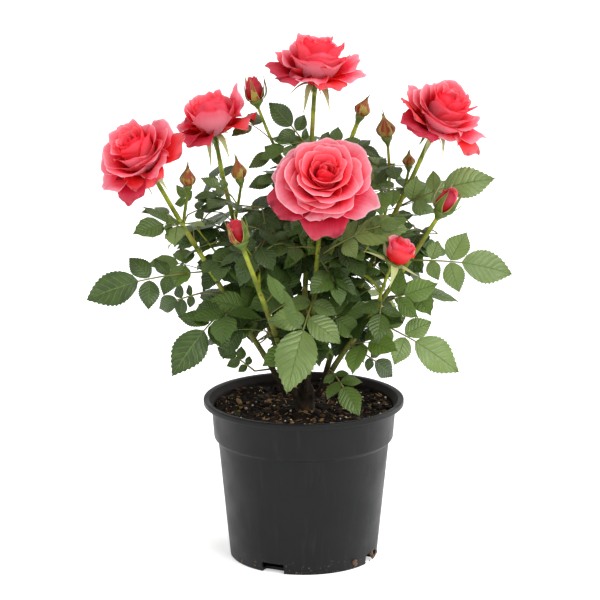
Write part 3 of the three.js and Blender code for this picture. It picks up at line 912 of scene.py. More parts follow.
class ROSE_OT_soil(bpy.types.Operator):
    """Fills the pot with lumpy potting mix under bark chips, crumbs and perlite"""

    bl_idname = "rose.soil"
    bl_label = "Potting mix"

    def execute(self, context):
        look = context.scene.rose_soil
        pot = context.scene.rose_pot
        low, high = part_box("soil")
        edge = pot.collar_foot - 1.2 * MM
        level = high.z - 1.6 * MM

        def surface(out, turn):
            x, y = out * math.cos(turn), out * math.sin(turn)
            return x, y, soil_height(x, y, look, level, edge)

        self.bed(edge, pot.foot - pot.wall - 0.5 * MM, level, low.z, surface)
        self.chips(look, edge, surface)
        return {"FINISHED"}

    def bed(self, edge, foot, level, floor, surface):
        """The plug of mix: its lumpy top out to the edge, then its side down to its flat foot."""
        side = 0.2
        top = 1 - side

        def place(u, v):
            turn = 2 * math.pi * u
            if v < top + 1e-6:
                return Vector(surface(edge * (v / top) ** 0.8 if v < top else edge, turn))
            down = (v - top) / side
            if down > 0.999:
                return Vector((0, 0, floor))
            radius = blend(edge, foot, down)
            return Vector((radius * math.cos(turn), radius * math.sin(turn), blend(level, floor, down)))

        bm = new_mesh()
        corners = grid(bm, 110, 50, place)
        bmesh.ops.remove_doubles(bm, verts=corners, dist=1e-7)
        bmesh.ops.recalc_face_normals(bm, faces=bm.faces)
        finished("soil_bed", bm, [shared("Potting mix", potting_mix)], ["soil"])

    def chips(self, look, edge, surface):
        tones = {
            "Dark chip": look.dark_chip, "Red chip": look.red_chip, "Pale chip": look.tan_chip,
            "Perlite": look.perlite, "Crumb": look.moist, "Fibre": look.fibre, "Moss": look.moss,
        }
        dark, red, pale, perlite, crumb, straw, moss = range(len(tones))
        materials = [
            shared(name, lambda name, tint=tint: chip_material(name, tint)) for name, tint in tones.items()
        ]
        bm = new_mesh()
        dice = random.Random(11)
        for kind in ["chip"] * look.chips + ["grain"] * look.grains + ["fibre"] * look.fibres:
            out = edge * 0.985 * math.sqrt(dice.random())
            x, y, ground = surface(out, dice.random() * 2 * math.pi)
            size, flat, stretch = {
                "chip": (dice.choice((0.9, 1.2, 1.7, 2.5)) * dice.uniform(0.7, 1.2),
                         dice.uniform(0.25, 0.6), dice.uniform(0.8, 1.9)),
                "grain": (dice.uniform(0.5, 1.2), 1, 1),
                "fibre": (dice.uniform(0.25, 0.45), 1, dice.uniform(6, 15)),
            }[kind]
            size *= MM
            made = bmesh.ops.create_icosphere(bm, subdivisions=1, radius=size)["verts"]
            tilt = Matrix.Rotation(dice.uniform(-0.5, 0.5), 3, "X")
            tilt @= Matrix.Rotation(dice.uniform(-0.4, 0.4), 3, "Y")
            lie = Matrix.Rotation(dice.random() * math.pi, 3, "Z") @ tilt
            middle = Vector((x, y, ground + size * flat * 0.5))
            for corner in made:
                rough = Vector((
                    dice.uniform(0.75, 1.2) * stretch * corner.co.x, dice.uniform(0.75, 1.2) * corner.co.y,
                    flat * corner.co.z,
                ))
                corner.co = middle + lie @ rough
                past = math.hypot(corner.co.x, corner.co.y) / edge
                if past > 1:
                    corner.co.x, corner.co.y = corner.co.x / past, corner.co.y / past
            shares = (44, 20, 9, 24, 3 if out > edge * 0.7 else 0)
            chip = dice.choices((dark, red, pale, crumb, moss), shares)[0]
            for face in {face for corner in made for face in corner.link_faces}:
                face.material_index = {"chip": chip, "grain": perlite, "fibre": straw}[kind]
        finished("soil_chips", bm, materials)


# ---------------------------------------------------------------- wood

CANES = nodes_named("cane_")
STALKS = nodes_named("stalk_")
# Each bloom stands on the cane of this name; the other canes and all the stalks end in buds.
BLOOM_ON = {
    "bloom_top": "cane_centre", "bloom_right": "cane_right", "bloom_front": "cane_front",
    "bloom_left": "cane_left", "bloom_upper_left": "cane_upper_left",
}
LIMBS = {name: Limb(name, name not in BLOOM_ON.values()) for name in CANES + STALKS}


def bark_relief(seed, old_height, depth):
    """Ridges that run along old wood, with a slight swelling at each joint of young wood."""
    def relief(out, point, turn):
        ridges = noise.fractal(Vector((turn * 2.2, seed, point.z * 60)), 1.0, 2.0, 3)
        old = 1 - ease(point.z, old_height - 15 * MM, old_height + 15 * MM)
        joint = max(0.0, math.cos(point.z * 2 * math.pi / (24 * MM) + seed)) ** 24
        return ridges * depth * (0.25 + 1.4 * old) + 0.14 * joint * (1 - old)
    return relief


def prickle(bm, point, out, way, size):
    """A hooked prickle: a cone whose point turns down the cane."""
    rows = []
    for part in (0, 0.3, 0.65, 1):
        at = point + out * size * part - way * size * 0.35 * part * part
        rows.append([*at, size * 0.3 * (1 - part) ** 1.4 + 0.03 * MM])
    tube(bm, rows, 6)


class ROSE_OT_wood(bpy.types.Operator):
    """Grows the rootstock, the canes and the side stalks, with their bark and prickles"""

    bl_idname = "rose.wood"
    bl_label = "Canes and bark"

    def execute(self, context):
        look = context.scene.rose_wood
        bark = shared("Cane bark", cane_bark)
        self.rootstock(bark)
        for seed, (name, limb) in enumerate(LIMBS.items()):
            bm = new_mesh()
            sides = 16 if name in CANES else 10
            tube(bm, limb.line, sides, relief=bark_relief(seed * 7.3, look.old_height, look.relief))
            finished(f"{name}_bark", bm, [bark], [name])
        self.prickles(look)
        return {"FINISHED"}

    def rootstock(self, bark):
        """The knuckle that all the canes spring from, at the mix."""
        low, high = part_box("rootstock")
        radius = (high.x - low.x) / 2
        shares = ((1.0, 0), (0.88, 0.2), (0.78, 0.45), (0.8, 0.7), (0.66, 0.9), (0.35, 1.0))
        knots = [
            [0, 0, blend(low.z - 2 * MM, high.z, rise), part * radius * 0.56] for part, rise in shares
        ]

        def relief(out, point, turn):
            lumps = noise.fractal(out * 2.2 + point * 45, 1.0, 2.0, 4)
            return 0.16 * lumps + 0.05 * math.cos(5 * turn)

        bm = new_mesh()
        tube(bm, smooth_line(knots, 26), 40, relief=relief)
        finished("rootstock_bark", bm, [bark], ["rootstock"])

    def prickles(self, look):
        bm = new_mesh()
        dice = random.Random(5)
        for name, limb in LIMBS.items():
            frames = carried_frames(limb.line)
            spacing = look.prickle_gap * (1 if name in CANES else 1.7)
            run = dice.uniform(8, 20) * MM
            step = (Vector(limb.line[1][:3]) - Vector(limb.line[0][:3])).length
            while run < step * (len(frames) - 8):
                point, way, side = frames[int(run / step)]
                turn = dice.random() * 2 * math.pi
                out = side * math.cos(turn) + way.cross(side) * math.sin(turn)
                radius = limb.line[int(run / step)][3]
                size = look.prickle_length * dice.uniform(0.6, 1.15) * (1 if name in CANES else 0.6)
                prickle(bm, point + out * radius * 0.9, out, way, size)
                run += spacing * dice.uniform(0.5, 1.5)
        finish = shared("Prickle", lambda name: waxy_green(name, look.prickle, look.blush))
        finished("prickles", bm, [finish])


# ---------------------------------------------------------------- petals, sepals and buds


class Stand:
    """The place that a bloom or bud grows from: its foot, the way it opens and its own axes."""

    def __init__(self, foot, way):
        self.foot = foot
        self.way = way.normalized()
        right = Vector((1, 0, 0))
        self.right = (right - self.way * right.dot(self.way)).normalized()
        self.back = self.way.cross(self.right)

    def point(self, turn, out, side, up):
        """A point by its turn round the way, its distance out, to the side and up."""
        c, s = math.cos(turn), math.sin(turn)
        x, y = out * c - side * s, out * s + side * c
        return self.foot + self.right * x + self.back * y + self.way * up


def arc(base, rim, leave, arrive):
    """A curve in distance out and height: a function of the share of the way along it that
    gives the place and the way there. It leaves and arrives at these degrees from upright."""
    leave, arrive = math.radians(leave), math.radians(arrive)
    a, d = np.array(base), np.array(rim)
    reach = math.dist(base, rim) * 0.42
    b = a + reach * np.array((math.sin(leave), math.cos(leave)))
    c = d - reach * np.array((math.sin(arrive), math.cos(arrive)))

    def at(part):
        rest = 1 - part
        place = a * rest ** 3 + 3 * b * rest * rest * part + 3 * c * rest * part * part + d * part ** 3
        way = (b - a) * rest * rest + 2 * (c - b) * rest * part + (d - c) * part * part
        return place, way / max(np.hypot(*way), 1e-9)

    return at


def petal(bm, stand, turn, line, width, hug, tone, seed, roll, lip, ripple, swirl, tip=0.0,
          corner=0.2, size=(14, 14)):
    """One petal on the curve that its midline follows. The blade hugs the bloom's axis and
    flattens towards its rim by hug. Its sides and its rim roll back, and it ripples."""
    phase = random_turn(seed, math.pi)
    second = random_turn(seed + 0.5, math.pi)

    def place(u, v):
        x = 1 - 2 * u
        far = abs(x)
        full = math.sin(math.pi / 2 * min(v / 0.62, 1)) ** 0.9
        half = width * (0.2 + 0.8 * full) * (1 - 0.16 * ease(v, 0.72, 1))
        part = v * (1 - corner * far ** 3 * ease(v, 0.2, 1))
        part += tip * math.exp(-(x / 0.22) ** 2) * ease(v, 0.8, 1)
        ragged = 0.026 * math.sin(5.2 * x + second) + 0.006 * math.sin(15 * x + phase)
        part *= 1 + ragged * ease(v, 0.6, 1)
        (out, up), way = line(part)
        bend = max(out, 3.2 * MM) * blend(1.0, hug, ease(v, 0.3, 1))
        turned = max(-2.6, min(2.6, x * half / bend))
        curled = roll * max((far - 0.35) / 0.65, 0) ** 2 * ease(v, 0.35, 1)
        wave = math.sin(3.3 * x + phase) + 0.5 * math.sin(8.6 * x + second)
        off = curled + lip * ease(v, 0.68, 1) ** 2 - bend * (1 - math.cos(turned))
        off += swirl * x * ease(v, 0, 0.6) + ripple * wave * v * v * (0.3 + 0.7 * far)
        across = bend * math.sin(turned) - math.copysign(0.35 * curled, x)
        return stand.point(turn, out + way[1] * off, across, up - way[0] * off)

    grid(bm, *size, place, PETAL_TONES.index(tone))


def sepal(bm, stand, turn, line, width, tone, seed, size=(4, 12)):
    """A long sepal, widest near its foot, that draws out to a thread."""
    sway = random_turn(seed, 2.5 * MM)

    def place(u, v):
        x = 2 * u - 1
        half = width * (0.62 + 0.38 * ease(v, 0, 0.25)) * max(1 - v, 0.03) ** 0.95
        (out, up), way = line(v)
        bend = max(out, 4 * MM)
        turned = x * half / bend
        off = bend * (math.cos(turned) - 1)
        across = bend * math.sin(turned) + sway * v * v
        return stand.point(turn, out + way[1] * off, across, up - way[0] * off)

    grid(bm, *size, place, tone)


def hip(bm, stand, stalk_radius, radius, depth):
    """The green urn under a bloom or bud, from a little down the stalk to the petals' foot."""
    shares = ((0, 0.0), (0.3, 0.3), (0.62, 0.85), (0.82, 1.0), (1.0, 0.82))
    knots = []
    for rise, part in shares:
        at = stand.foot + stand.way * blend(-0.3 * depth, depth, rise)
        knots.append([*at, blend(stalk_radius * 1.02, radius, part)])
    tube(bm, smooth_line(knots, 12), 16, HIP)


# The outer petals of each bloom: turn in degrees from the bloom's right, reach and
# height of the rim as shares of its radius and height, the angle from upright at the rim,
# half width in millimetres, how far the sides roll back, the tip, and the tone.
GUARDS = {
    "bloom_top": [
        (180, 0.98, 0.44, 84, 15, 5, 0.07, "crimson"),
        (206, 0.86, 0.26, 112, 16, 4, 0.03, "crimson"),
        (250, 0.74, 0.36, 98, 15, 7, 0.0, "guard"),
        (306, 0.84, 0.24, 112, 15, 6, 0.03, "flame"),
        (352, 1.0, 0.42, 84, 13, 5, 0.07, "guard"),
        (16, 0.88, 0.66, 52, 12, 4, 0.06, "guard"),
        (70, 0.92, 0.44, 88, 17, 5, 0.04, "crimson"),
        (128, 0.95, 0.36, 98, 17, 5, 0.04, "guard"),
        (160, 0.82, 0.62, 56, 12, 3, 0.05, "cup"),
    ],
    "bloom_right": [
        (196, 0.96, 0.6, 62, 13, 5, 0.06, "flame"),
        (212, 0.95, 0.34, 96, 13, 4, 0.05, "crimson"),
        (232, 0.9, 0.28, 110, 14, 5, 0.04, "crimson"),
        (284, 0.7, 0.38, 96, 15, 8, 0.0, "guard"),
        (342, 1.04, 0.2, 114, 18, 5, 0.04, "flame"),
        (352, 0.98, 0.46, 80, 13, 7, 0.06, "guard"),
        (40, 0.9, 0.44, 88, 16, 5, 0.04, "guard"),
        (92, 0.95, 0.38, 94, 17, 5, 0.04, "crimson"),
        (146, 0.9, 0.56, 66, 14, 4, 0.05, "cup"),
    ],
    "bloom_front": [
        (208, 1.0, 0.26, 104, 17, 4, 0.03, "crimson"),
        (240, 0.78, 0.4, 94, 14, 8, 0.0, "guard"),
        (272, 0.99, 0.08, 120, 16, 3, -0.05, "crimson"),
        (296, 0.74, 0.44, 92, 13, 8, 0.0, "guard"),
        (336, 1.0, 0.32, 96, 16, 5, 0.05, "guard"),
        (20, 0.86, 0.44, 84, 16, 4, 0.02, "guard"),
        (62, 0.84, 0.42, 86, 16, 4, 0.03, "guard"),
        (106, 0.84, 0.42, 86, 16, 4, 0.02, "guard"),
        (146, 0.84, 0.42, 86, 16, 4, 0.03, "guard"),
        (176, 0.86, 0.4, 90, 15, 4, 0.02, "guard"),
    ],
    "bloom_left": [
        (196, 1.0, 0.34, 92, 16, 4, 0.06, "guard"),
        (240, 0.98, 0.12, 124, 15, 6, 0.04, "crimson"),
        (276, 0.82, 0.26, 112, 15, 5, 0.02, "flame"),
        (318, 0.74, 0.44, 84, 13, 7, 0.03, "guard"),
        (4, 1.02, 0.46, 76, 16, 3, 0.02, "flame"),
        (48, 0.86, 0.62, 56, 14, 4, 0.05, "guard"),
        (96, 0.88, 0.5, 78, 16, 4, 0.04, "crimson"),
        (148, 0.92, 0.42, 88, 16, 4, 0.03, "guard"),
    ],
    "bloom_upper_left": [
        (200, 1.0, 0.3, 88, 14, 6, 0.06, "crimson"),
        (228, 0.8, 0.12, 118, 14, 4, 0.02, "crimson"),
        (350, 1.04, 0.48, 66, 12, 7, 0.07, "flame"),
        (22, 0.7, 0.92, 22, 11, 4, 0.08, "guard"),
        (60, 0.86, 0.44, 86, 15, 5, 0.04, "guard"),
        (116, 0.94, 0.4, 90, 16, 5, 0.04, "crimson"),
        (158, 0.9, 0.42, 84, 15, 5, 0.04, "guard"),
    ],
}
# Where the petals leave the hip, as distance out and height: the furled ones, then the outer.
FURL_FOOT = (2.4 * MM, 4 * MM)
GUARD_FOOT = (3.2 * MM, 4.5 * MM)

# The cup of each bloom: how many petals furl in it, its width as a share of the bloom's, how
# far from upright its outermost rims stand, how high they reach, how far from upright the
# heart's rims stand, and the heart's height as a share of the bloom's.
CUPS = {
    "bloom_top": (23, 0.68, 30, 0.72, -20, 1), "bloom_right": (24, 0.7, 46, 0.7, -14, 1),
    "bloom_front": (26, 0.8, 62, 0.58, 4, 1), "bloom_left": (23, 0.7, 48, 0.68, -8, 1),
    "bloom_upper_left": (17, 0.6, 6, 0.86, -36, 0.88),
}


FRONT_RAISE = math.radians(12)   # how much higher the front bloom faces than its solid leans
BROAD, FRONT_BROAD = 4, 6.5      # millimetres added to the half width of all outer petals


class ROSE_OT_blooms(bpy.types.Operator):
    """Opens the five blooms: furled heart, wrapped cup, turned-down outer petals and sepals"""

    bl_idname = "rose.blooms"
    bl_label = "Blooms"

    def execute(self, context):
        for seed, (name, cane) in enumerate(BLOOM_ON.items()):
            self.bloom(name, LIMBS[cane], seed * 100)
        return {"FINISHED"}

    def bloom(self, name, limb, seed):
        triangles = triangles_of(name)
        normals = np.cross(triangles[:, 1] - triangles[:, 0], triangles[:, 2] - triangles[:, 0])
        weights = np.linalg.norm(normals, axis=1)
        middle = Vector(np.average(triangles.mean(1), axis=0, weights=weights))
        front = name == "bloom_front"
        raised = Vector((0, 0, math.tan(FRONT_RAISE) if front else 0))
        stand = Stand(limb.head, middle - limb.head + raised * (middle - limb.head).length)
        offsets = corners_of(name) - np.array(limb.head)
        up = offsets @ np.array(stand.way)
        out = np.linalg.norm(offsets - up[:, None] * np.array(stand.way), axis=1)
        radius, height = float(out.max()), float(up.max())
        bm = new_mesh()
        *cup, tall = CUPS[name]
        self.furl(bm, stand, radius, height * tall, *cup, seed)
        self.curls(bm, stand, radius, height * tall, seed)
        broad = FRONT_BROAD if front else BROAD
        for i, (turn, far, rise, arrive, wide, roll, tip, tone) in enumerate(GUARDS[name]):
            line = arc(GUARD_FOOT, (far * radius * 0.97, rise * height), 76, arrive)
            petal(
                bm, stand, math.radians(turn), line, (wide + broad) * MM, 2.3, tone, seed + 50 + i,
                roll=roll * 0.9 * MM, lip=2.0 * MM, ripple=1.8 * MM, tip=tip,
                swirl=random_turn(seed + i, 1.5 * MM), corner=0.23, size=(18, 16),
            )
        finished(f"{name}_petals", bm, bloom_materials(), [name])
        self.calyx(name, stand, limb, seed)

    def furl(self, bm, stand, radius, height, count, cup, flare, drop, closed, seed):
        """The petals that furl round the heart and widen to the cup."""
        knots = [[*(stand.foot + stand.way * height * rise), part * MM]
                 for rise, part in ((0.1, 4), (0.4, 6.5), (0.7, 5), (0.82, 1.5))]
        tube(bm, smooth_line(knots, 12), 14, HEART)
        for i in range(count):
            part = i / (count - 1)
            turn = i * GOLDEN + random_turn(seed + i, 0.4)
            out = blend(1.4 * MM, cup * radius, part ** 0.88) * (1 + random_turn(seed + i + 0.1, 0.12))
            dome = blend(0.88, 1.0, ease(part, 0, 0.4)) - (1 - drop) * ease(part, 0.4, 1)
            rise = height * dome * (1 + random_turn(seed + i + 0.2, 0.045))
            leave = blend(14, 72, part ** 0.7)
            arrive = blend(closed, flare, part ** 0.85) + random_turn(seed + i + 0.3, 14)
            tone = "heart" if part < 0.3 else "cup" if part < 0.6 else ("outer", "guard", "outer")[i % 3]
            petal(
                bm, stand, turn, arc(FURL_FOOT, (out, rise), leave, arrive),
                blend(8 * MM, 0.64 * radius, part ** 0.75) * (1 + random_turn(seed + i + 0.7, 0.12)),
                blend(0.95, 1.3, part), tone, seed + i, roll=blend(0.1, 2.8, part) * MM,
                lip=blend(0.4, 3.0, part ** 0.8) * MM, ripple=blend(0.3, 1.2, part) * MM,
                tip=random_turn(seed + i + 0.4, 0.03), corner=blend(0.1, 0.19, part),
                swirl=blend(0.9, 2.2, part) * MM,
            )

    def curls(self, bm, stand, radius, height, seed):
        """Small folded petals that stand at odds with each other in the heart."""
        for i in range(9):
            out = (0.08 + 0.03 * i) * radius
            rise = height * (0.93 + random_turn(seed + i, 0.05))
            line = arc(FURL_FOOT, (out, rise), 20, -30 + 9 * i)
            petal(
                bm, stand, 1.9 * i + seed, line, 0.2 * radius, 1.5, ("heart", "outer")[i % 2],
                seed + 30 + i, roll=1.2 * MM, lip=1.2 * MM, ripple=0.7 * MM,
                swirl=random_turn(seed + i + 0.6, 4 * MM),
            )

    def calyx(self, name, stand, limb, seed):
        """The hip under a bloom, and five long sepals with a thread on each side."""
        bm = new_mesh()
        hip(bm, stand, limb.line[-1][3], 4.2 * MM, 6 * MM)
        for i in range(5):
            turn = i * 2 * math.pi / 5 + 0.5 + random_turn(seed + i, 0.25)
            far = (21, 13)[i % 2] * MM + random_turn(seed + i + 0.2, 3 * MM)
            drop = (-11, -20)[i % 2] * MM + random_turn(seed + i + 0.4, 4 * MM)
            line = arc((3 * MM, 5.5 * MM), (far, drop), 92, 150)
            sepal(bm, stand, turn, line, 4.0 * MM, SEPAL, seed + i)
            line = arc((4.6 * MM, 4.4 * MM), (far * 0.92, drop * 0.3 - 1 * MM), 100, 140)
            for hand in (-1, 1):
                sepal(bm, stand, turn + 0.32 * hand, line, 0.8 * MM, SEPAL, seed + i + hand)
        finished(f"{name}_calyx", bm, bloom_materials())


# How each bud looks: closed or small with its sepals shut, coloured where they part over its
# petals, or opening. Then the turn of its first sepal in degrees from the bush's right.
BUDS = {
    "cane_back": ("closed", 0), "cane_front_left": ("coloured", 236), "cane_right_low": ("coloured", 89),
    "stalk_left_small": ("closed", 279), "stalk_right_open": ("opening", 130),
    "stalk_right_small": ("small", 345), "stalk_top_left": ("coloured", 270),
    "stalk_top_right": ("closed", 51), "stalk_upper_left": ("closed", 264),
}


def bulb(part, radius, top, drawn):
    """Radius of a bud's body at a share of its height: round below its widest place, and blunt
    (drawn 0) or drawn out into a neck (drawn 1) above it."""
    widest = 0.36
    if part < widest:
        return radius * math.sqrt(max(1 - ((widest - part) / widest) ** 2 * 0.8, 0))
    fall = (part - widest) / (1 - widest)
    blunt = math.sqrt(max(1 - fall * fall * (1 - top * top), 0))
    beaked = blend(1, top, ease(fall, -0.1, 0.95))
    return radius * blend(blunt, beaked, drawn)


def bud_body(bm, stand, radius, low, high, top, drawn, tone):
    """The closed body that fills a bud behind its sepals and petals."""
    knots = []
    for part in np.linspace(0, 1, 14):
        at = stand.foot + stand.way * blend(low, high, part)
        knots.append([*at, bulb(part, radius, top, drawn)])
    tube(bm, knots, 16, tone)


def bud_sepal(bm, stand, turn, radius, low, high, flare):
    """A sepal that lies on a closed bud's body from its foot to its neck."""
    def place(u, v):
        x = 2 * u - 1
        half = 0.74 * min(1, (1.02 - v) ** 0.45 * (0.6 + 0.8 * min(v * 2.2, 0.5)))
        out = bulb(v, radius, 0.14, 1) * (1 + 0.05 * x) + flare * ease(v, 0.7, 1)
        return stand.point(turn + x * half, out, 0, blend(low, high, v))

    grid(bm, 8, 14, place, BUD_SEPAL)


# How wide each kind of bud is against the plain one in the frame.
BUD_SWELL = {"closed": 1.02, "small": 1.3, "coloured": 1.36, "opening": 1.5}


class ROSE_OT_buds(bpy.types.Operator):
    """Shapes the nine buds: hip, sepals and the petals that show between them"""

    bl_idname = "rose.buds"
    bl_label = "Buds"

    def execute(self, context):
        for seed, (node, (kind, turn)) in enumerate(BUDS.items()):
            self.bud(node, LIMBS[node], kind, math.radians(turn), seed * 10)
        return {"FINISHED"}

    def bud(self, node, limb, kind, turn, seed):
        bm = new_mesh()
        stand = Stand(limb.head, limb.way)
        size, radius = limb.bud_length, limb.bud_radius * BUD_SWELL[kind]
        neck = 0.24 * size
        hip(bm, stand, limb.line[-1][3], 0.6 * radius, neck)
        getattr(self, kind)(bm, stand, size, radius, neck, turn, seed)
        finished(f"{node}_bud", bm, bloom_materials())

    def closed(self, bm, stand, size, radius, neck, turn, seed):
        """Sepals laid over each other from the hip to the neck, with their tips drawn out."""
        top = size * 0.8
        bud_body(bm, stand, radius * 0.96, neck * 0.85, top, 0.12, 1, BUD_SEPAL)
        for i in range(5):
            bud_sepal(
                bm, stand, turn + i * 4 * math.pi / 5, radius * (0.98 + 0.015 * i), neck * 0.8,
                top * (0.96 + 0.02 * i), random_turn(seed + i, 0.3 * MM) + 0.2 * MM,
            )
        for i in range(3):
            tip = (1.3 * MM + random_turn(seed + i, 1.3 * MM), size * (1.0 - 0.05 * i))
            line = arc((0.5 * MM, size * 0.66), tip, 4, 20)
            sepal(bm, stand, turn + i * 2.1, line, 1.5 * MM, HIP, seed + i)
        line = arc((radius * 0.7, neck), (radius + 1.6 * MM, size * 0.72), 60, 24)
        sepal(bm, stand, turn + 0.9, line, 0.5 * MM, HIP, seed)

    small = closed

    def coloured(self, bm, stand, size, radius, neck, turn, seed):
        """Furled petals between five parted sepals, with three threads that stand off."""
        bud_body(bm, stand, radius * 0.55, neck * 0.9, size * 0.88, 0.3, 0.1, HEART)
        for i in range(7):
            rim = (radius * (0.16 + 0.07 * i), size * (1.0 - 0.03 * i + random_turn(seed + i, 0.02)))
            petal(
                bm, stand, seed + i * GOLDEN, arc((radius * 0.35, neck * 0.9), rim, 74, -40 + 5 * i),
                radius * 1.25, 1.0, ("bud_petal", "crimson", "cup")[i % 3], seed + i, roll=0.6 * MM,
                lip=(0.3 + 0.14 * i) * MM, ripple=0.7 * MM, swirl=0.9 * MM,
            )
        shapes = (
            (0.6, 1.04, 0.46, BUD_SEPAL), (3.2, 1.14, 0.46, SEPAL), (1.2, 0.92, 0.58, SEPAL),
            (2.4, 1.08, 0.46, SEPAL), (0.4, 1.0, 0.46, BUD_SEPAL),
        )
        for i, (off, rise, half, tone) in enumerate(shapes):
            rim = (radius * 0.8 + off * MM, size * rise)
            line = arc((radius * 0.4, neck * 0.75), rim, 76, 2 + 4 * i)
            around = turn + i * 2 * math.pi / 5
            sepal(bm, stand, around, line, radius * half, tone, seed + i, (6, 14))
        threads = ((3.4, 1.35, 1.3), (-0.1, 1.75, 1.02), (-0.9, 1.5, 1.16))
        for i, (around, far, rise) in enumerate(threads):
            line = arc((radius * 0.85, size * 0.32), (radius * far, size * rise), 40, -12)
            sepal(bm, stand, around, line, 1.0 * MM, SEPAL, seed + i)

    def opening(self, bm, stand, size, radius, neck, turn, seed):
        """A small cup of petals over sepals that bend away and down."""
        bud_body(bm, stand, radius * 0.5, neck * 0.9, size * 0.82, 0.5, 0, HEART)
        for i in range(11):
            part = i / 10
            rise = size * (blend(1.0, 0.86, part) + random_turn(seed + i, 0.03))
            line = arc(
                (radius * 0.3, neck * 0.9), (radius * blend(0.2, 0.86, part), rise),
                blend(60, 78, part), blend(-24, 14, part),
            )
            petal(
                bm, stand, seed + i * GOLDEN, line, radius * blend(0.9, 1.2, part), 1.0,
                ("guard", "flame")[i % 2], seed + i, roll=1.2 * MM, lip=blend(0.6, 3.0, part) * MM,
                ripple=1.3 * MM, swirl=1.1 * MM,
            )
        shapes = (
            (1.5, size * 0.6, 40), (2.2, neck, 96), (1.7, -8 * MM, 140), (1.9, neck, 80),
            (1.3, size * 0.7, 24),
        )
        for i, (far, rise, arrive) in enumerate(shapes):
            line = arc((radius * 0.4, neck * 0.7), (radius * far, rise), 84, arrive)
            around = turn + i * 2 * math.pi / 5
            sepal(bm, stand, around, line, 4.6 * MM, SEPAL, seed + i, (6, 14))


# ---------------------------------------------------------------- leaves

# Where a leaflet's rows of corners lie across it, from side to side, with a narrow midrib.
ACROSS = (-1, -0.55, -0.04, 0.04, 0.55, 1)


def leaflet(bm, foot, along, face, size, width, tone, seed, rows, curl):
    """One toothed leaflet: folded up from its midrib and bent down towards its tip."""
    side = along.cross(face).normalized()
    face = side.cross(along).normalized()
    fold = 0.3 + random_turn(seed, 0.12)
    twist = random_turn(seed, 0.22)
    wave = random_turn(seed + 0.3, math.pi)
    bite, cut = (0.08, 0.5) if rows > 12 else (0.05, 0.3)

    def place(u, v):
        x = ACROSS[round(u * 5)]
        row = round(v * rows)
        stage = v ** 0.84
        body = math.sin(math.pi * stage) ** (0.76 if stage < 0.5 else 1.14) if 0 < v < 1 else 0
        tooth = (0.5 if row % 2 else -0.5) if abs(x) == 1 and 0 < row < rows else 0
        half = width / 2 * body * (1 + bite * tooth)
        run = min(max(v + cut * tooth / rows, 0), 1)
        bend = curl * run
        normal = face * math.cos(bend) + along * math.sin(bend)
        spine = along * (math.sin(bend) / curl) + face * ((math.cos(bend) - 1) / curl)
        across = side * math.cos(twist * v) + normal * math.sin(twist * v)
        lift = fold * half * (abs(x) - 0.7 * x * x) + 0.02 * size * math.sin(8 * v + wave) * x * x
        return foot + spine * size + across * (x * half) + normal * lift

    first = len(bm.faces)
    grid(bm, 5, rows, place, tone)
    bm.faces.ensure_lookup_table()
    for row in range(rows):
        bm.faces[first + 5 * row + 2].material_index = RIB


def rose_leaf(blades, stalks, base, tip, face, width, pairs, tone, seed, rows=9,
              stalk_radius=0.45 * MM, stalk_tone=0, arch=0.12, end=0.52, ratio=0.66):
    """A compound leaf from its base to the tip of its end leaflet, which takes the share end of
    its length and is ratio times as wide as long. One or two pairs of side leaflets follow."""
    whole = tip - base
    size = whole.length
    face = (face - whole * face.dot(whole) / size ** 2).normalized()
    joint = 1 - end
    side = whole.normalized().cross(face)

    def midline(part):
        return base + whole * part + face * (arch * size * 2.4 * part * (1 - part))

    run = [
        [*midline(part), stalk_radius * (1.15 - 0.5 * part)] for part in np.linspace(0, joint + 0.035, 6)
    ]
    tube(stalks, run, 5, stalk_tone)
    foot = midline(joint)
    ahead = (tip - foot).normalized()
    leaflet(
        blades, foot + ahead * 0.02 * size, ahead, face, (tip - foot).length * 0.98,
        size * end * ratio, tone, seed, rows, 0.4 + random_turn(seed + 0.1, 0.25),
    )
    for i in range(pairs):
        at = joint * (0.8, 0.4)[i]
        reach = width / 2 * (0.9, 0.62)[i]
        ahead = (midline(at + 0.02) - midline(at)).normalized()
        for hand in (-1, 1):
            own = seed + 1 + 2 * i + hand * 0.4
            turn = math.radians(68) + random_turn(own, 0.22)
            root = midline(at + random_turn(own, 0.012))
            way = (ahead * math.cos(turn) + side * hand * math.sin(turn)).normalized()
            tilted = face + side * hand * (0.15 + random_turn(own + 0.2, 0.25))
            tilted += ahead * random_turn(own, 0.2)
            span = reach * (1 + random_turn(own + 0.5, 0.1))
            leaflet(
                blades, root + way * 0.04 * reach, way, tilted.normalized(), span, span * 0.7,
                tone, own, rows, 0.4 + random_turn(own + 0.7, 0.25),
            )


def spray_lie(node):
    """Base, tip, face and width of a spray, from the thin solid that the frame holds. Its base
    is the end nearer to the pot's axis."""
    corners = corners_of(node)
    middle = corners.mean(0)
    spread = np.linalg.svd(corners - middle, full_matrices=False)[2]
    along, across, face = (Vector(row) for row in spread)
    if face.z < 0:
        face = -face
    ends = (corners - middle) @ np.array(along)
    base, tip = corners[ends.argmin()], corners[ends.argmax()]
    if np.linalg.norm(base[:2]) > np.linalg.norm(tip[:2]):
        base, tip = tip, base
    width = np.ptp((corners - middle) @ np.array(across))
    return Vector(base), Vector(tip), face, float(width)


def nearest_wood(point, below=0.0):
    """The nearest place on any limb's line that is at least this far below a point."""
    wood = np.vstack([limb.line[:, :3] for limb in LIMBS.values()])
    wood = wood[wood[:, 2] < point.z - below]
    return Vector(wood[np.linalg.norm(wood - np.array(point), axis=1).argmin()])


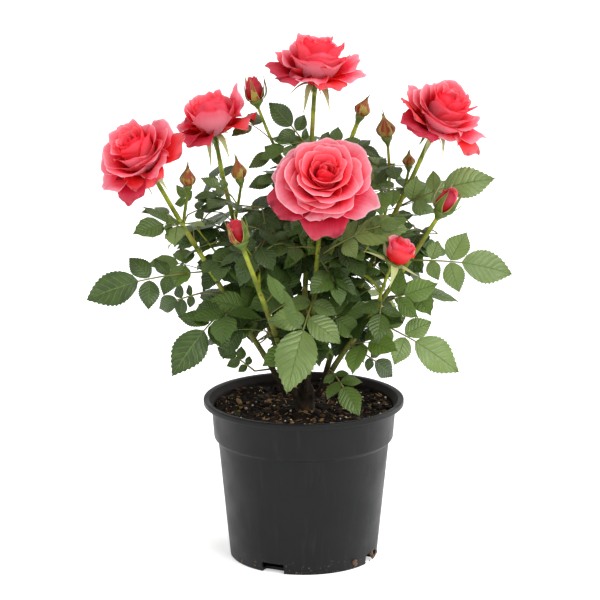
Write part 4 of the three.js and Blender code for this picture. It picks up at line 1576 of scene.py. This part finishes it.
# The limbs that stand clear in front, above this height. No leaf that fills the crown comes so
# near to a line that runs forward from them and sinks by this slope.
CLEAR_LIMBS = ("cane_front", "cane_front_left", "cane_right_low", "stalk_right_open")
CLEAR_ABOVE = 215 * MM
CLEAR_ROOM = 12 * MM
CLEAR_SLOPE = 0.25


def hides_a_limb(point):
    """Whether a leaf here would hang over one of the limbs that stand clear in front."""
    for name in CLEAR_LIMBS:
        rows = LIMBS[name].line
        rows = rows[rows[:, 2] > CLEAR_ABOVE]
        rise = rows[:, 2] - CLEAR_SLOPE * rows[:, 1] - point.z + CLEAR_SLOPE * point.y
        beside = np.hypot(rows[:, 0] - point.x, rise)
        if np.any((beside < CLEAR_ROOM) & (rows[:, 1] > point.y)):
            return True
    return False


# Painted light and shade: most sprays on the bush's right, where the key light falls, take bright greens, and
# most on its left and below take dark ones.
SPRAY_LIGHT_AND_SHADE = {
    "spray_front": "bright", "spray_left_long": "dark", "spray_left_low": "dark",
    "spray_right_long": "bright", "spray_right_high": "bright", "spray_right_low": "bright",
    "spray_top_left": "dark", "spray_top_right": "middle", "spray_left_high": "fresh",
    "spray_front_right": "fresh", "spray_bottom_front": "fresh", "spray_bottom_right": "dark",
}

# Leaves that stand clear among the blooms: base and tip in millimetres, how wide the leaf
# spreads, and its green.
CLEAR_LEAVES = [
    ((15, -40, 270), (83, -62, 304), 50, "bright"),
    ((-13, 15, 348), (-47, 4, 335), 30, "middle"),
    ((-12, 12, 321), (-46, -4, 322), 32, "dark"),
    ((-60, 20, 306), (-86, 15, 324), 28, "fresh"),
    ((-60, 12, 303), (-91, 0, 311), 30, "dark"),
    ((-35, -4, 302), (-29, -34, 272), 40, "dark"),
    ((76, 5, 337), (60, -6, 322), 24, "dark"),
    ((38, 14, 352), (64, 2, 344), 28, "dark"),
    ((-98, 10, 298), (-104, 4, 320), 24, "fresh"),
    ((-97, 8, 293), (-69, 0, 303), 30, "middle"),
]

# A spray that starts further than this from all wood grows out of the leaves beside it.
LONGEST_STALK = 30 * MM


class ROSE_OT_sprays(bpy.types.Operator):
    """Lays the outlying compound leaves, whose teeth and veins show most"""

    bl_idname = "rose.sprays"
    bl_label = "Outlying leaves"

    def execute(self, context):
        for seed, node in enumerate(nodes_named("spray_")):
            base, tip, face, width = spray_lie(node)
            wood = nearest_wood(base)
            bm = new_mesh()
            tone = LEAF_TONES.index(SPRAY_LIGHT_AND_SHADE.get(node, ("dark", "middle", "fresh")[seed % 3]))
            if (wood - base).length < LONGEST_STALK:
                self.stalk(bm, wood, (wood + base) / 2, base, (0.9, 0.8, 0.7))
            rose_leaf(
                bm, bm, base, tip, face, width, 2, tone, 300 + seed * 9, rows=27,
                stalk_radius=0.75 * MM, stalk_tone=LEAF_STALK, arch=0.14, end=0.54, ratio=0.6,
            )
            finished(node.replace("spray", "leaf"), bm, leaf_materials(True), [node])
        self.clear_leaves()
        return {"FINISHED"}

    def stalk(self, bm, wood, middle, base, radii):
        """The stalk of a leaf from the wood to its base, with its radii in millimetres."""
        tube(bm, [[*at, radius * MM] for at, radius in zip((wood, middle, base), radii)], 6, LEAF_STALK)

    def clear_leaves(self):
        bm = new_mesh()
        for seed, (base, tip, width, tone) in enumerate(CLEAR_LEAVES):
            base, tip = Vector(base) * MM, Vector(tip) * MM
            wood = nearest_wood(base)
            self.stalk(bm, wood, wood.lerp(base, 0.5), base, (0.8, 0.65, 0.6))
            rose_leaf(
                bm, bm, base, tip, Vector((0.1, -0.55, 0.8)), width * MM, 1, LEAF_TONES.index(tone),
                700 + seed * 7, rows=21, stalk_radius=0.6 * MM, stalk_tone=LEAF_STALK, end=0.6,
            )
        finished("leaves_among_blooms", bm, leaf_materials(True))


BARE_FOOT = 180 * MM   # height under which the canes carry no leaves


class ROSE_OT_cane_leaves(bpy.types.Operator):
    """Hangs a compound leaf at each joint of the canes and side stalks, turn after turn"""

    bl_idname = "rose.cane_leaves"
    bl_label = "Leaves on the canes"

    def execute(self, context):
        look = context.scene.rose_leaf
        leaves, stalks = new_mesh(), new_mesh()
        for number, (name, limb) in enumerate(LIMBS.items()):
            dice = random.Random(71 + number)
            rows = limb.line
            step = np.linalg.norm(rows[1, :3] - rows[0, :3])
            bare = limb.head.z - look.bare_tip * (1 if name in CANES else 0.55)
            run = dice.uniform(2, 10) * MM
            turn = dice.random() * 2 * math.pi
            while run < step * (len(rows) - 2):
                row = rows[int(run / step)]
                run += look.joint_gap * dice.uniform(0.75, 1.25)
                turn += GOLDEN
                if BARE_FOOT < row[2] < bare:
                    self.leaf(look, dice, Vector(row[:3]), row[3], turn, leaves, stalks)
        finished("leaves_on_canes", leaves, leaf_materials(False))
        finished("leaf_stalks", stalks, [leaf_materials(False)[LEAF_STALK]])
        return {"FINISHED"}

    def leaf(self, look, dice, point, radius, turn, leaves, stalks):
        lean = dice.uniform(-0.25, 0.5)
        way = Vector((math.cos(turn), math.sin(turn), lean)).normalized()
        high = ease(point.z, 240 * MM, 360 * MM)
        size = look.leaf_length * blend(1.15, 0.82, high) * dice.uniform(0.85, 1.15)
        base = point + way * radius * 0.8
        tip = base + way * size
        if hides_a_limb(tip) or hides_a_limb(tip.lerp(base, 0.4)):
            return
        loose = Vector([dice.uniform(-0.3, 0.3) for _ in range(3)])
        face = Vector((way.x * 0.3, way.y * 0.3 - 0.45, 0.75 - lean)) + loose
        tone = dice.choices((DARK, MIDDLE, FRESH, BRIGHT), (3, 5, 3, 1))[0]
        rose_leaf(
            leaves, stalks, base, tip, face.normalized(), look.leaf_width * size / look.leaf_length,
            dice.choice((1, 1, 2)), tone, dice.random() * 900, arch=dice.uniform(0.1, 0.22),
        )


LOW_CROWN = 230 * MM   # height under which a mass of foliage carries fewer leaves


class ROSE_OT_foliage(bpy.types.Operator):
    """Grows shoots from the canes through each mass of foliage and hangs leaves to its outline"""

    bl_idname = "rose.foliage"
    bl_label = "Masses of foliage"

    def execute(self, context):
        look = context.scene.rose_leaf
        masses = [LeafMass(name) for name in nodes_named("foliage_")]
        twigs = new_mesh()
        for tier in ("low", "middle", "core", "upper"):
            leaves = new_mesh()
            nodes = nodes_named(f"foliage_{tier}")
            for mass in masses:
                if mass.name in nodes:
                    others = [other for other in masses if other is not mass]
                    self.mass(look, mass, others, leaves, twigs)
            finished(f"leaves_{tier}", leaves, leaf_materials(False), nodes)
        finishes = [leaf_materials(False)[LEAF_STALK], shared("Cane bark", cane_bark)]
        finished("twigs", twigs, finishes)
        return {"FINISHED"}

    @staticmethod
    def shoot(mass, top):
        """The line of a twig from the nearest lower limb through the mass, to hang leaves on."""
        start = nearest_wood(mass.centre, 14 * MM)
        rise = Vector((0, 0, (mass.centre - start).length * 0.35))
        knots = [
            [*start, 1.5 * MM], [*(start.lerp(mass.centre, 0.5) + rise * 0.3), 1.2 * MM],
            [*mass.centre, 0.95 * MM], [*top, 0.6 * MM],
        ]
        return smooth_line(knots, 18)

    def mass(self, look, mass, others, leaves, twigs):
        """Hangs leaves on a mass's outline and inside it, but none inside the other masses."""
        seed = sum(ord(letter) for letter in mass.name)
        dice = random.Random(seed)
        outward = Vector((mass.centre.x, mass.centre.y, 0))
        outward = outward.normalized() if outward.length > 20 * MM else Vector((0, 0, 0))
        top = mass.centre + outward * mass.half.x * 0.45 + Vector((0, 0, mass.half.z * 0.6))
        line = self.shoot(mass, top)
        last = 0
        count = round(look.leaves_per_mass * (0.8 if mass.centre.z < LOW_CROWN else 1.0))
        for i in range(count + look.inner_leaves):
            inner = i >= count
            level = 1 - 2 * ((i % count) + 0.5) / count
            turn = i * GOLDEN + seed
            flat = math.sqrt(1 - level * level)
            way = Vector((flat * math.cos(turn), flat * math.sin(turn), level))
            far = mass.reach(way) * (dice.uniform(0.4, 0.7) if inner else dice.uniform(0.86, 1.0))
            tip = mass.centre + way * far
            if not inner and any(other.holds(tip) for other in others):
                continue
            loose = Vector([dice.uniform(-0.35, 0.35) for _ in range(3)])
            across = way * 0.6 + outward * 0.5 + loose
            lie = Vector((across.x, across.y, 0.45 * way.z - 0.35 + 0.5 * loose.z)).normalized()
            size = look.leaf_length * dice.uniform(0.78, 1.15)
            base = tip - lie * size
            joint = self.joint_for(line, base)
            wood = Vector(line[joint, :3])
            gap = (wood - base).length
            longest = look.leaf_length * blend(0.62, 0.42, ease(mass.centre.z, 270 * MM, 320 * MM))
            if gap > longest or hides_a_limb(tip) or hides_a_limb(tip.lerp(base, 0.4)):
                continue
            last = max(last, joint)
            if gap > 3 * MM:
                middle = wood.lerp(base, 0.55) + (Vector((0, 0, 0.5)) - lie) * gap * 0.18
                knots = [[*wood, 0.75 * MM], [*middle, 0.6 * MM], [*base, 0.5 * MM]]
                tube(twigs, smooth_line(knots, 8), 5)
            face = Vector((lie.x, lie.y, 0)) * 0.35 + Vector((0, -0.25, 0.8)) + loose * 0.9
            shade = self.shade(dice, tip, way, inner)
            rose_leaf(
                leaves, twigs, base, tip, face.normalized(), look.leaf_width * dice.uniform(0.85, 1.15),
                dice.choice((1, 1, 2)), shade, seed + i * 11, arch=dice.uniform(0.08, 0.2), end=0.54,
            )
        if last > 1:
            tube(twigs, line[:last + 1], 6, 1)

    @staticmethod
    def joint_for(line, base):
        """Which row of a twig a leaf's stalk leaves it from: a near one, not above its base."""
        gaps = np.linalg.norm(line[:, :3] - np.array(base), axis=1)
        gaps += np.maximum(line[:, 2] - base.z, 0) * 2
        return int(gaps.argmin())

    @staticmethod
    def shade(dice, tip, way, inner):
        """Painted shade and painted light: deep greens inside and below, brighter ones outside, above and
        facing up.
        """
        if inner:
            return dice.choice((DEEP_SHADE, DARK, DARK))
        light = 0.9 * way.z + (tip.z - 200 * MM) / (150 * MM) + dice.uniform(-1.1, 1.5)
        return sum(light >= limit for limit in (-0.7, 0.3, 1.3, 2.1))


# ---------------------------------------------------------------- stage


class ROSE_OT_stage(bpy.types.Operator):
    """Sets the camera, the white paper, the even light and the soft lights from two sides"""

    bl_idname = "rose.stage"
    bl_label = "Stage"

    def execute(self, context):
        look = context.scene.rose_stage
        scene = context.scene
        lens = bpy.data.cameras.new("camera")
        lens.lens = look.lens
        lens.sensor_width = 36
        lens.clip_end = 100
        camera = link("camera", lens)
        aim = Vector((look.aim_side, 0, look.aim_height))
        back = Vector((0, -math.cos(look.elevation), math.sin(look.elevation)))
        camera.location = aim + back * look.distance
        camera.rotation_euler = (math.radians(90) - look.elevation, 0, 0)
        scene.camera = camera
        self.paper(look)
        self.light(scene, look)
        scene.view_settings.view_transform = "Standard"
        return {"FINISHED"}

    def paper(self, look):
        bm = bmesh.new()
        bmesh.ops.create_grid(bm, x_segments=8, y_segments=8, size=look.floor_size / 2)
        material, wires, shader = new_material(
            "Paper", look.floor_colour, Roughness=0.9, Emission_Color=(1, 1, 1),
            Emission_Strength=0.35,
        )
        fibre = wires.noise(wires.place(), 900.0, 2)
        wires.finish(shader, look.floor_colour, fibre, 0.05, 0.1 * MM)
        solid("paper_floor", bm, [material])

    def light(self, scene, look):
        world = bpy.data.worlds.new("even_light")
        world.use_nodes = True
        sky = world.node_tree.nodes["Background"].inputs
        sky["Color"].default_value = (1, 1, 1, 1)
        sky["Strength"].default_value = look.sky
        scene.world = world
        for name, energy, width, lean, turn in (
            ("key_light", look.sun, 40, 36, 40), ("side_light", look.side, 50, -22, 66),
        ):
            lamp = bpy.data.lights.new(name, "SUN")
            lamp.energy = energy
            lamp.angle = math.radians(width)
            link(name, lamp).rotation_euler = (math.radians(lean), math.radians(turn), 0)


# ---------------------------------------------------------------- panel and start

OPERATORS = (
    ROSE_OT_stage, ROSE_OT_pot, ROSE_OT_soil, ROSE_OT_wood, ROSE_OT_blooms, ROSE_OT_buds,
    ROSE_OT_sprays, ROSE_OT_cane_leaves, ROSE_OT_foliage,
)
SETTINGS = {
    "rose_pot": PotSettings, "rose_soil": SoilSettings, "rose_wood": WoodSettings,
    "rose_bloom": BloomSettings, "rose_leaf": LeafSettings, "rose_stage": StageSettings,
}


class ROSE_PT_panel(bpy.types.Panel):
    """Lists the pieces of the rose bush and their settings"""

    bl_idname = "ROSE_PT_panel"
    bl_label = "Rose Bush"
    bl_space_type = "VIEW_3D"
    bl_region_type = "UI"
    bl_category = "Rose Bush"

    def draw(self, context):
        for operator in OPERATORS:
            self.layout.operator(operator.bl_idname)
        for place in SETTINGS:
            settings = getattr(context.scene, place)
            box = self.layout.box()
            for name in settings.__annotations__:
                box.prop(settings, name)


def register():
    for kind in (*SETTINGS.values(), *OPERATORS, ROSE_PT_panel):
        bpy.utils.register_class(kind)
    for place, kind in SETTINGS.items():
        setattr(bpy.types.Scene, place, PointerProperty(type=kind))


def unregister():
    for place in SETTINGS:
        delattr(bpy.types.Scene, place)
    for kind in (ROSE_PT_panel, *reversed(OPERATORS), *SETTINGS.values()):
        bpy.utils.unregister_class(kind)


def main():
    register()
    for operator in OPERATORS:
        group, name = operator.bl_idname.split(".")
        getattr(getattr(bpy.ops, group), name)()


if __name__ == "__main__":
    main()
